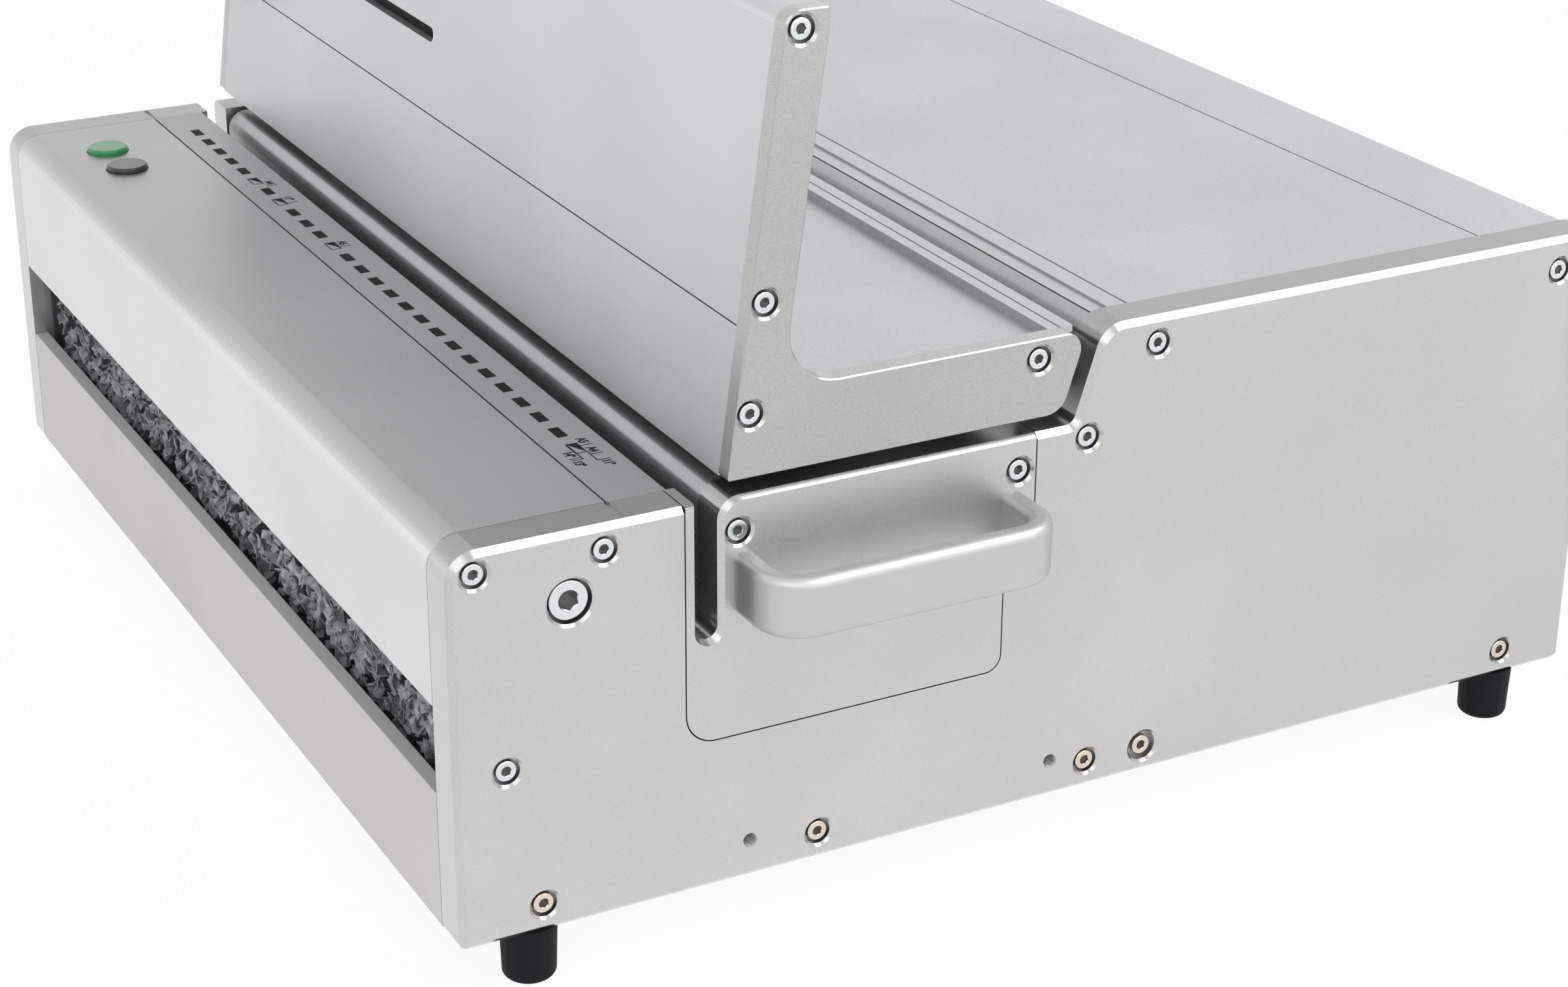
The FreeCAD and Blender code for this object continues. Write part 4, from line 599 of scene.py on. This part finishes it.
# ---------------------------------------------------------------- sub-assemblies
@dataclass
class ScaleMarks:
    """The punch marks and paper sizes printed on the scale strip."""

    first_x: float = 163.85 * MM
    pitch: float = 14.2875 * MM
    count: int = 27
    half_marks: tuple[int, ...] = (0, 15, 19, 21)
    width: float = 8.1 * MM
    depth: float = 3.65 * MM
    middle_y: float = -148.6 * MM
    line: float = 0.4 * MM
    film: float = 0.05 * MM
    letter: float = 4.3 * MM
    weight: float = 0.13 * MM
    letter_gap: float = 0.9
    letter_stretch: float = 0.85
    letter_steps: int = 3
    # Each text with its left end and base line, in millimetres.
    labels: tuple[tuple[str, float, float], ...] = (
        ("A5", 156.9, -145.9), ("A4", 164.8, -145.9), ('11"', 176.0, -145.9),
        ('14"', 165.2, -154.4), ('13"', 173.2, -154.4), ("A5", -54.1, -145.9),
        ('11"', -112.6, -145.9), ("A4", -134.0, -145.9),
    )
    # The left, right, near and far side of each line, in millimetres.
    bars: tuple[tuple[float, float, float, float], ...] = (
        (162.3, 162.7, -146.8, -142.5), (170.0, 170.4, -146.8, -142.5),
        (175.2, 175.6, -146.8, -142.5), (167.9, 175.6, -146.98, -146.6),
        (159.8, 172.7, -150.6, -150.2), (171.0, 171.3, -154.6, -150.4),
        (172.4, 172.7, -154.6, -150.4), (-48.8, -48.4, -146.8, -142.5),
        (-105.4, -105.0, -146.8, -142.5), (-128.6, -128.2, -146.8, -142.5),
    )

    def build(self, workshop: Workshop, top: float) -> None:
        """Prints the marks on the strip.

        Args:
            workshop: dresses the piece.
            top: height of the strip's top.
        """
        shape = bmesh.new()
        for index in range(self.count):
            middle = self.first_x - index * self.pitch
            low_x, high_x = middle - self.width / 2, middle + self.width / 2
            low_y, high_y = self.middle_y - self.depth / 2, self.middle_y + self.depth / 2
            if index in self.half_marks:
                self.patch(shape, [(low_x, low_y), (high_x, high_y), (low_x, high_y)])
                self.patch(shape, box_corners(high_x - self.line, high_x, low_y, high_y))
                self.patch(shape, box_corners(low_x, high_x - self.line, low_y - self.line, low_y))
            else:
                self.patch(shape, box_corners(low_x, high_x, low_y, high_y))
        for x0, x1, y0, y1 in self.bars:
            self.patch(shape, box_corners(x0 * MM, x1 * MM, y0 * MM, y1 * MM))
        mesh = bpy.data.meshes.new("marks")
        shape.to_mesh(mesh)
        shape.free()
        flat = bpy.data.objects.new("marks", mesh)
        bpy.context.scene.collection.objects.link(flat)
        only(flat)
        bpy.ops.object.mode_set(mode="EDIT")
        bpy.ops.mesh.select_all(action="SELECT")
        bpy.ops.mesh.extrude_region_move(TRANSFORM_OT_translate={"value": (0, 0, self.film)})
        bpy.ops.mesh.select_all(action="SELECT")
        bpy.ops.mesh.normals_make_consistent(inside=False)
        bpy.ops.object.mode_set(mode="OBJECT")
        flat.location.z = top
        parts = [flat] + [self.words(text, x * MM, y * MM, top) for text, x, y in self.labels]
        for part in parts:
            settle(part)
        workshop.place(join("scale_marks", parts), PRINT, "machine", "black_plastic")

    @staticmethod
    def patch(shape: bmesh.types.BMesh, corners: list[tuple[float, float]]) -> None:
        """Adds one flat printed patch.

        Args:
            shape: the mesh under construction.
            corners: its corners, seen from above.
        """
        shape.faces.new([shape.verts.new((x, y, 0.0)) for x, y in corners])

    def words(self, text: str, x: float, y: float, top: float) -> bpy.types.Object:
        """Prints a paper size.

        Args:
            text: the size.
            x: left end of the text.
            y: its base line.
            top: height of the strip's top.

        Returns:
            The printed text as a mesh.
        """
        deselect()
        bpy.ops.object.text_add(location=(x, y, top + self.film / 2))
        label = bpy.context.object
        label.data.body = text
        label.data.size = self.letter
        label.data.space_character = self.letter_gap
        label.data.extrude = self.film / 2
        label.data.offset = self.weight
        label.data.resolution_u = self.letter_steps
        label.scale.x = self.letter_stretch
        only(label)
        bpy.ops.object.convert(target="MESH")
        return bpy.context.object


def box_corners(x0: float, x1: float, y0: float, y1: float) -> list[tuple[float, float]]:
    """The corners of an upright rectangle, in order.

    Args:
        x0: left side.
        x1: right side.
        y0: near side.
        y1: far side.

    Returns:
        Its four corners.
    """
    return [(x0, y0), (x1, y0), (x1, y1), (x0, y1)]


@dataclass
class ChipHeap:
    """The punched paper behind the drawer's window."""

    chip_length: float = 6.4 * MM
    chip_width: float = 3.5 * MM
    chip_thickness: float = 0.45 * MM
    curl: float = 0.9 * MM
    front_count: int = 950
    tilt: float = 1.15
    top_count: int = 2700
    seed: int = 7
    front_layer: float = 3.4 * MM
    sill: float = 61.5 * MM
    end_inset: float = 12.0 * MM
    heap_back: float = 4.0 * MM
    reach_share: float = 0.55
    nearest: float = 0.25
    growth: tuple[float, float] = (0.75, 1.1)
    pane_gap: float = 0.1 * MM
    floor_gap: float = 0.2 * MM
    core_cuts: int = 24
    core_swing: tuple[float, float] = (0.4, 0.5)

    def chip(self) -> bpy.types.Object:
        """Models one curled chip.

        Returns:
            The chip, at the origin.
        """
        deselect()
        bpy.ops.mesh.primitive_grid_add(x_subdivisions=3, y_subdivisions=1, size=1.0)
        chip = bpy.context.object
        chip.scale = (self.chip_length, self.chip_width, 1.0)
        settle(chip)
        for vert in chip.data.vertices:
            across = vert.co.x / (self.chip_length / 2)
            vert.co.z = self.curl * across * across
        thicken = chip.modifiers.new("thickness", "SOLIDIFY")
        thicken.thickness = self.chip_thickness
        thicken.offset = 0.0
        apply_all(chip)
        return chip

    def build(self, workshop: Workshop) -> None:
        """Fills the drawer with chips.

        Args:
            workshop: dresses the pieces.
        """
        low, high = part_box("paper_chips")
        draw = random.Random(self.seed)
        reach = self.chip_length * self.reach_share
        places = []
        for _ in range(self.front_count):
            spot = Vector((
                draw.uniform(low.x + reach / 2, high.x - reach / 2),
                low.y + draw.uniform(self.nearest, 1.0) * self.front_layer,
                draw.uniform(self.sill, high.z - reach / 3),
            ))
            places.append(self.resting(draw, spot, Matrix.Rotation(math.pi / 2, 4, "X")))
        for _ in range(self.top_count):
            spot = Vector((
                draw.uniform(low.x + self.end_inset, high.x - self.end_inset),
                draw.uniform(low.y + self.front_layer, high.y - reach),
                high.z - reach - draw.uniform(0.0, 1.0) * self.chip_width,
            ))
            places.append(self.resting(draw, spot, Matrix.Identity(4)))
        heap = copies(self.chip(), places, "loose_chips")
        for vert in heap.data.vertices:
            vert.co.x = min(max(vert.co.x, low.x), high.x)
            over_core = low.x + self.end_inset < vert.co.x < high.x - self.end_inset
            deepest = high.y if over_core else low.y + self.front_layer
            vert.co.y = min(max(vert.co.y, low.y + self.pane_gap), deepest)
            vert.co.z = min(max(vert.co.z, low.z), high.z)
        workshop.place(heap, CHIP, "drawer", "chips", "paper_chips")
        # The core under the loose chips carries painted shade.
        workshop.place(self.core(low, high, draw), CHIP_CORE_SHADE, "drawer", "chips")

    def resting(self, draw: random.Random, spot: Vector, against: Matrix) -> Matrix:
        """A random place for a chip that lies loosely against a wall or on the heap.

        Args:
            draw: the source of random numbers.
            spot: the chip's middle.
            against: turns a flat chip to face what it lies against.

        Returns:
            Its place and turn.
        """
        spin = Matrix.Rotation(draw.uniform(0, math.tau), 4, "Z")
        flip = Matrix.Rotation(math.pi * draw.choice((0, 1)), 4, "X")
        nod = Matrix.Rotation(draw.uniform(-self.tilt, self.tilt), 4, "X")
        sway = Matrix.Rotation(draw.uniform(-self.tilt, self.tilt), 4, "Y")
        turn = against @ sway @ nod @ flip @ spin
        return Matrix.Translation(spot) @ turn @ Matrix.Scale(draw.uniform(*self.growth), 4)

    def core(self, low: Vector, high: Vector, draw: random.Random) -> bpy.types.Object:
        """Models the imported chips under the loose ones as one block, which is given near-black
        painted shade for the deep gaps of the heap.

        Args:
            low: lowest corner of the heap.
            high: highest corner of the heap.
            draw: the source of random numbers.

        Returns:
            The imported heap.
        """
        deselect()
        inner_low = low + Vector((self.end_inset, self.front_layer + MM, self.floor_gap))
        inner_high = high - Vector((self.end_inset, MM, self.heap_back))
        bpy.ops.mesh.primitive_cube_add(size=1.0, location=(inner_low + inner_high) / 2)
        core = bpy.context.object
        core.name = "chip_core_painted_shade"
        core.scale = inner_high - inner_low
        settle(core)
        only(core)
        bpy.ops.object.mode_set(mode="EDIT")
        bpy.ops.mesh.select_all(action="SELECT")
        bpy.ops.mesh.subdivide(number_cuts=self.core_cuts)
        bpy.ops.object.mode_set(mode="OBJECT")
        deep, tall = self.core_swing
        for vert in core.data.vertices:
            vert.co.y += draw.uniform(-deep, deep) * MM
            vert.co.z += draw.uniform(-tall, tall) * MM
            vert.co.z = max(vert.co.z, low.z)
        return core


@dataclass(frozen=True)
class ScrewSize:
    """A socket screw's sizes by its head's radius."""

    head: float
    height: float
    shank: float
    socket: float

    def corner(self) -> float:
        """Radius to the corners of its hexagon socket."""
        return self.socket / math.cos(math.radians(30))


@dataclass
class CapScrews:
    """Socket screws with rounded rims, sockets and threads in the places of plain ones."""

    sizes: tuple[ScrewSize, ...] = (
        ScrewSize(3.5 * MM, 4.0 * MM, 2.0 * MM, 1.5 * MM),
        ScrewSize(4.25 * MM, 5.0 * MM, 2.5 * MM, 2.0 * MM),
        ScrewSize(6.5 * MM, 8.0 * MM, 4.0 * MM, 3.0 * MM),
    )
    steps: int = 36
    rim: float = 0.5 * MM
    thread_pitch: float = 1.6 * MM
    thread_depth: float = 0.25 * MM
    rim_steps: int = 4
    flat: float = 1.22
    tip: float = 0.75
    mouth: tuple[float, float, float] = (0.78, 1.2, 0.5)
    mouth_sides: int = 24
    # Depth below the head's top, as a share of the socket's corner radius, from which the socket's
    # faces get painted shade.
    dark_from: float = 0.3
    smooth_up_to: float = 40.0
    turn_step: float = 17.0
    outer_x: float = 220.3 * MM
    low_row: float = 36.0 * MM

    def outline(self, size: ScrewSize, length: float) -> list[tuple[float, float]]:
        """Half section of a screw, from the middle of its head to its tip.

        Args:
            size: the screw's sizes.
            length: its whole length.

        Returns:
            Points as (radius, height), with the head's top at height 0.
        """
        points = [(0.0, 0.0), (size.socket * self.flat, 0.0)]
        for step in range(self.rim_steps + 1):
            angle = math.radians(90 - 90 / self.rim_steps * step)
            points.append((
                size.head - self.rim + self.rim * math.cos(angle),
                -self.rim + self.rim * math.sin(angle),
            ))
        points += [(size.head, -size.height), (size.shank, -size.height)]
        level = -size.height - self.thread_pitch
        while level > -length + self.thread_pitch:
            points.append((size.shank - self.thread_depth, level))
            level -= self.thread_pitch / 2
            points.append((size.shank, level))
            level -= self.thread_pitch / 2
        points += [(size.shank * self.tip, -length), (0.0, -length)]
        return points

    def screw(self, size: ScrewSize, length: float) -> bpy.types.Object:
        """Models a screw that faces along +Z.

        Args:
            size: its sizes.
            length: its whole length.

        Returns:
            The screw, the top of its head at the origin.
        """
        shape = bmesh.new()
        points = self.outline(size, length)
        verts = [shape.verts.new((radius, 0.0, height)) for radius, height in points]
        for one, two in zip(verts, verts[1:]):
            shape.edges.new((one, two))
        mesh = bpy.data.meshes.new("screw")
        shape.to_mesh(mesh)
        shape.free()
        screw = bpy.data.objects.new("screw", mesh)
        bpy.context.scene.collection.objects.link(screw)
        only(screw)
        bpy.ops.object.mode_set(mode="EDIT")
        bpy.ops.mesh.select_all(action="SELECT")
        bpy.ops.mesh.spin(steps=self.steps, angle=math.tau, center=(0, 0, 0), axis=(0, 0, 1))
        bpy.ops.mesh.select_all(action="SELECT")
        bpy.ops.mesh.remove_doubles(threshold=WELD)
        bpy.ops.mesh.normals_make_consistent(inside=False)
        bpy.ops.object.mode_set(mode="OBJECT")
        self.cut_socket(screw, size)
        only(screw)
        bpy.ops.object.shade_smooth_by_angle(angle=math.radians(self.smooth_up_to))
        return screw

    def cut_socket(self, screw: bpy.types.Object, size: ScrewSize) -> None:
        """Cuts the hexagon socket and its countersink.

        Args:
            screw: the screw to cut.
            size: its sizes.
        """
        corner = size.corner()
        deselect()
        bpy.ops.mesh.primitive_cylinder_add(vertices=6, radius=corner, depth=size.height)
        socket = bpy.context.object
        deselect()
        inner, outer, depth = (share * corner for share in self.mouth)
        bpy.ops.mesh.primitive_cone_add(
            vertices=self.mouth_sides, radius1=inner, radius2=outer, depth=depth,
        )
        mouth = bpy.context.object
        for tool in (socket, mouth):
            cutter = screw.modifiers.new("socket", "BOOLEAN")
            cutter.operation = "DIFFERENCE"
            cutter.solver = "EXACT"
            cutter.object = tool
            apply_all(screw)
            bpy.data.objects.remove(tool)

    def paint_socket_shade(self, screw: bpy.types.Object, size: ScrewSize) -> None:
        """Paints shade inside the socket: its deep faces get the screw's second, near-black finish.

        Args:
            screw: the screw, with two finishes.
            size: its sizes.
        """
        corner = size.corner()
        for face in screw.data.polygons:
            spot = face.center
            deep = -size.height < spot.z < -corner * self.dark_from
            face.material_index = int(deep and math.hypot(spot.x, spot.y) < corner)

    def build(self, workshop: Workshop, node: str, body: str) -> None:
        """Replaces a node of plain screws.

        Args:
            workshop: dresses the pieces.
            node: the node of plain screws.
            body: the body that they ride on.
        """
        groups: dict[tuple[bool, int, float], list[Matrix]] = {}
        for index, (low, high) in enumerate(islands(workshop.frame["nodes"][node])):
            middle = (low + high) / 2
            radius = (high.y - low.y) / 2
            kind = min(range(len(self.sizes)), key=lambda k: abs(self.sizes[k].head - radius))
            outward = 1.0 if middle.x > 0 else -1.0
            if high.x > self.outer_x:
                outward = -outward
            top = high.x if outward > 0 else low.x
            turn = Matrix.Rotation(math.radians(90) * outward, 4, "Y")
            spin = Matrix.Rotation(math.radians(self.turn_step * (index + 1)), 4, "Z")
            place = Matrix.Translation((top, middle.y, middle.z)) @ turn @ spin
            key = (middle.z < self.low_row, kind, round(high.x - low.x, DIGITS))
            groups.setdefault(key, []).append(place)
        parts: dict[bool, list[bpy.types.Object]] = {}
        for (is_low, kind, length), places in sorted(groups.items()):
            screw = self.screw(self.sizes[kind], length)
            # Screws of the low row get the painted warm reflection of the floor.
            screw.data.materials.append(workshop.material(ZINC_PAINTED_WARM if is_low else ZINC))
            # The second finish is painted shade inside the sockets.
            screw.data.materials.append(workshop.material(SOCKET_SHADE))
            self.paint_socket_shade(screw, self.sizes[kind])
            part = copies(screw, places, f"{node}_{kind}")
            parts.setdefault(is_low, []).append(part)
        first = True
        for is_low, row in sorted(parts.items()):
            name = f"{node}_low_row" if is_low else f"{node}_detailed"
            piece = join(name, row)
            replaced = [node] if first else []
            workshop.place(piece, ZINC_PAINTED_WARM if is_low else ZINC, body, "cap_screw", *replaced)
            first = False


@dataclass
class TappedHoles:
    """Threads in the spare tapped holes of the end plates."""

    places: tuple[tuple[float, float], ...] = ((-117.0 * MM, 32.8 * MM), (-4.7 * MM, 32.8 * MM))
    radius: float = 2.42 * MM
    ridge: float = 0.28 * MM
    pitch: float = 0.8 * MM
    turns: int = 9
    lead: float = 0.5 * MM
    round_steps: int = 24
    ridge_steps: int = 6

    def build(self, workshop: Workshop) -> None:
        """Lines each spare hole with thread ridges.

        Args:
            workshop: dresses the piece.
        """
        deselect()
        bpy.ops.mesh.primitive_torus_add(
            major_radius=self.radius, minor_radius=self.ridge, rotation=(0, math.radians(90), 0),
            major_segments=self.round_steps, minor_segments=self.ridge_steps,
        )
        ridge = bpy.context.object
        settle(ridge)
        plate_low, plate_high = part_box("right_end_plate")[1].x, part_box("left_end_plate")[0].x
        spots = []
        for y, z in self.places:
            for step in range(self.turns):
                inset = self.lead + step * self.pitch
                spots.append(Matrix.Translation((plate_low - inset, y, z)))
                spots.append(Matrix.Translation((plate_high + inset, y, z)))
        piece = copies(ridge, spots, "hole_threads")
        only(piece)
        bpy.ops.object.shade_smooth()
        workshop.place(piece, GROUND, "machine", "machined_steel")


# ---------------------------------------------------------------- studio
def sees_background(tree: bpy.types.NodeTree) -> bpy.types.NodeSocket:
    """Tells which rays see the white background: straight, in metal or through a clear pane.

    Args:
        tree: the node tree.

    Returns:
        A socket that is 1 for those rays.
    """
    path = tree.nodes.new("ShaderNodeLightPath")
    seen = path.outputs["Is Camera Ray"]
    for kind in ("Is Glossy Ray", "Is Transmission Ray"):
        seen = combine(tree, "MAXIMUM", seen, path.outputs[kind])
    return seen


@dataclass(frozen=True)
class Lamp:
    """A soft rectangular lamp, with its place in metres and its power in watts."""

    name: str
    spot: tuple[float, float, float]
    size: tuple[float, float]
    power: float


@dataclass
class Studio:
    """The floor, the lamps and the camera."""

    # The lamps face the target. The camera stands at the eye, and its axes are unit vectors.
    target: Vector = field(default_factory=lambda: Vector((0.0, 0.0, 0.12)))
    eye: Vector = field(default_factory=lambda: Vector((0.97553, -0.51101, 0.52895)))
    right: Vector = field(default_factory=lambda: Vector((0.47105343, 0.88208953, 0.00516971)))
    down: Vector = field(default_factory=lambda: Vector((0.35855568, -0.18611467, -0.91476727)))
    ahead: Vector = field(default_factory=lambda: Vector((-0.80594447, 0.43275789, -0.40394816)))
    # The focal length is in pixels of a frame this wide, and the film width in millimetres.
    focal_pixels: float = 4746.44
    frame_width: float = 2408.0
    film_width: float = 36.0
    nearest_seen: float = 0.02
    floor_size: float = 12.0
    floor_roughness: float = 0.9
    seen_white: float = 0.93
    floor_tone: float = 0.95
    far_tone: float = 0.7
    warmth: tuple[float, float, float] = (1.0, 0.992, 0.984)
    # Distances over which the floor's colour darkens, a painted pool of light: away from the middle,
    # and towards one side.
    pool: tuple[float, float] = (0.5, 1.15)
    dark_side: tuple[float, float, float] = (0.5, -0.85, 0.0)
    dark_start: tuple[float, float] = (0.32, 0.6)
    dark_share: float = 0.62
    # The room's brightness as diffuse light, by the Z of the direction that it comes from.
    room_tones: tuple[tuple[float, float], ...] = (
        (0.0, 0.95), (0.5, 0.75), (0.58, 0.55), (0.7, 0.45), (0.85, 0.5), (1.0, 0.9),
    )
    lamps: tuple[Lamp, ...] = (
        Lamp("front_left_softbox", (-1.0, -2.0, 0.45), (1.8, 0.8), 4.0),
        Lamp("rear_right_softbox", (0.75, 0.85, 1.5), (1.5, 0.9), 13.0),
        Lamp("right_fill", (1.9, 0.5, 0.6), (2.2, 1.6), 5.0),
        Lamp("right_front_softbox", (1.35, -1.25, 1.45), (1.9, 1.3), 7.0),
    )

    def build(self) -> None:
        """Makes the floor, the lamps, the world and the camera."""
        self.camera()
        self.floor()
        self.world()
        for lamp in self.lamps:
            self.hang(lamp)
        bpy.context.scene.view_settings.view_transform = "Standard"

    def camera(self) -> None:
        """Makes the camera."""
        data = bpy.data.cameras.new("camera")
        data.sensor_width = self.film_width
        data.lens = self.focal_pixels / self.frame_width * self.film_width
        data.clip_start = self.nearest_seen
        camera = bpy.data.objects.new("camera", data)
        bpy.context.scene.collection.objects.link(camera)
        turn = Matrix((self.right, -self.down, -self.ahead)).transposed().to_4x4()
        camera.matrix_world = Matrix.Translation(self.eye) @ turn
        bpy.context.scene.camera = camera

    def floor(self) -> None:
        """Makes the pale floor."""
        deselect()
        bpy.ops.mesh.primitive_plane_add(size=self.floor_size)
        floor = bpy.context.object
        floor.name = "floor"
        material = bpy.data.materials.new("pale_floor")
        material.use_nodes = True
        tree = material.node_tree
        shader = tree.nodes["Principled BSDF"]
        shader.inputs["Roughness"].default_value = self.floor_roughness
        tree.links.new(self.pool_of_light(tree), shader.inputs["Base Color"])
        glow = tree.nodes.new("ShaderNodeEmission")
        glow.inputs["Color"].default_value = WHITE
        glow.inputs["Strength"].default_value = 1.0
        mix = tree.nodes.new("ShaderNodeMixShader")
        share = tree.nodes.new("ShaderNodeMath")
        share.operation = "MULTIPLY"
        share.inputs[1].default_value = self.seen_white
        tree.links.new(sees_background(tree), share.inputs[0])
        tree.links.new(share.outputs[0], mix.inputs["Fac"])
        tree.links.new(shader.outputs["BSDF"], mix.inputs[1])
        tree.links.new(glow.outputs["Emission"], mix.inputs[2])
        tree.links.new(mix.outputs["Shader"], tree.nodes["Material Output"].inputs["Surface"])
        floor.data.materials.append(material)

    def pool_of_light(self, tree: bpy.types.NodeTree) -> bpy.types.NodeSocket:
        """Paints a pool of light into the floor's colour: pale round the object and darker away from
        it.

        Args:
            tree: the floor's node tree.

        Returns:
            The socket of the floor's tone.
        """
        place = tree.nodes.new("ShaderNodeTexCoord")
        reach = tree.nodes.new("ShaderNodeVectorMath")
        reach.operation = "LENGTH"
        tree.links.new(place.outputs["Object"], reach.inputs[0])
        away = span(tree, reach.outputs["Value"], self.pool, (self.floor_tone, self.far_tone))
        side = tree.nodes.new("ShaderNodeVectorMath")
        side.operation = "DOT_PRODUCT"
        side.inputs[1].default_value = self.dark_side
        tree.links.new(place.outputs["Object"], side.inputs[0])
        near = span(tree, side.outputs["Value"], self.dark_start, (1.0, self.dark_share))
        tint = tree.nodes.new("ShaderNodeVectorMath")
        tint.operation = "SCALE"
        tint.inputs[0].default_value = self.warmth
        tree.links.new(combine(tree, "MULTIPLY", away, near), tint.inputs["Scale"])
        return tint.outputs[0]

    def world(self) -> None:
        """Makes the room: white where it is seen, and a soft gradient as diffuse light."""
        world = bpy.data.worlds.new("room")
        bpy.context.scene.world = world
        world.use_nodes = True
        tree = world.node_tree
        tree.nodes.clear()
        place = tree.nodes.new("ShaderNodeTexCoord")
        parts = tree.nodes.new("ShaderNodeSeparateXYZ")
        tree.links.new(place.outputs["Generated"], parts.inputs["Vector"])
        ramp = tree.nodes.new("ShaderNodeValToRGB")
        stops = self.room_tones
        while len(ramp.color_ramp.elements) < len(stops):
            ramp.color_ramp.elements.new(0.5)
        for element, (at, value) in zip(ramp.color_ramp.elements, stops):
            element.position = at
            element.color = (value, value, value, 1)
        tree.links.new(parts.outputs["Z"], ramp.inputs["Fac"])
        room = tree.nodes.new("ShaderNodeBackground")
        tree.links.new(ramp.outputs["Color"], room.inputs["Color"])
        white = tree.nodes.new("ShaderNodeBackground")
        white.inputs["Color"].default_value = WHITE
        mix = tree.nodes.new("ShaderNodeMixShader")
        tree.links.new(sees_background(tree), mix.inputs["Fac"])
        tree.links.new(room.outputs[0], mix.inputs[1])
        tree.links.new(white.outputs[0], mix.inputs[2])
        out = tree.nodes.new("ShaderNodeOutputWorld")
        tree.links.new(mix.outputs[0], out.inputs["Surface"])

    def hang(self, lamp: Lamp) -> None:
        """Hangs a lamp so that it faces the object.

        Args:
            lamp: the lamp.
        """
        data = bpy.data.lights.new(lamp.name, "AREA")
        data.shape = "RECTANGLE"
        data.size, data.size_y = lamp.size
        data.energy = lamp.power
        light = bpy.data.objects.new(lamp.name, data)
        bpy.context.scene.collection.objects.link(light)
        light.location = lamp.spot
        away = Vector(lamp.spot) - self.target
        light.rotation_euler = away.to_track_quat("Z", "Y").to_euler()


def main() -> None:
    """Dresses the frame, adds each piece and sets up the studio."""
    logging.basicConfig(level=logging.INFO, format="%(name)s: %(message)s")
    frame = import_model()
    workshop = Workshop(frame)
    workshop.dress_nodes()
    ScaleMarks().build(workshop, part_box("scale_strip")[1].z)
    ChipHeap().build(workshop)
    screws = CapScrews()
    for node, body in (
        ("end_plate_screws", "machine"), ("tie_bar_bolts", "machine"),
        ("cassette_screws", "cassette"), ("support_screws", "support"),
    ):
        screws.build(workshop, node, body)
    TappedHoles().build(workshop)
    Studio().build()


if __name__ == "__main__":
    main()
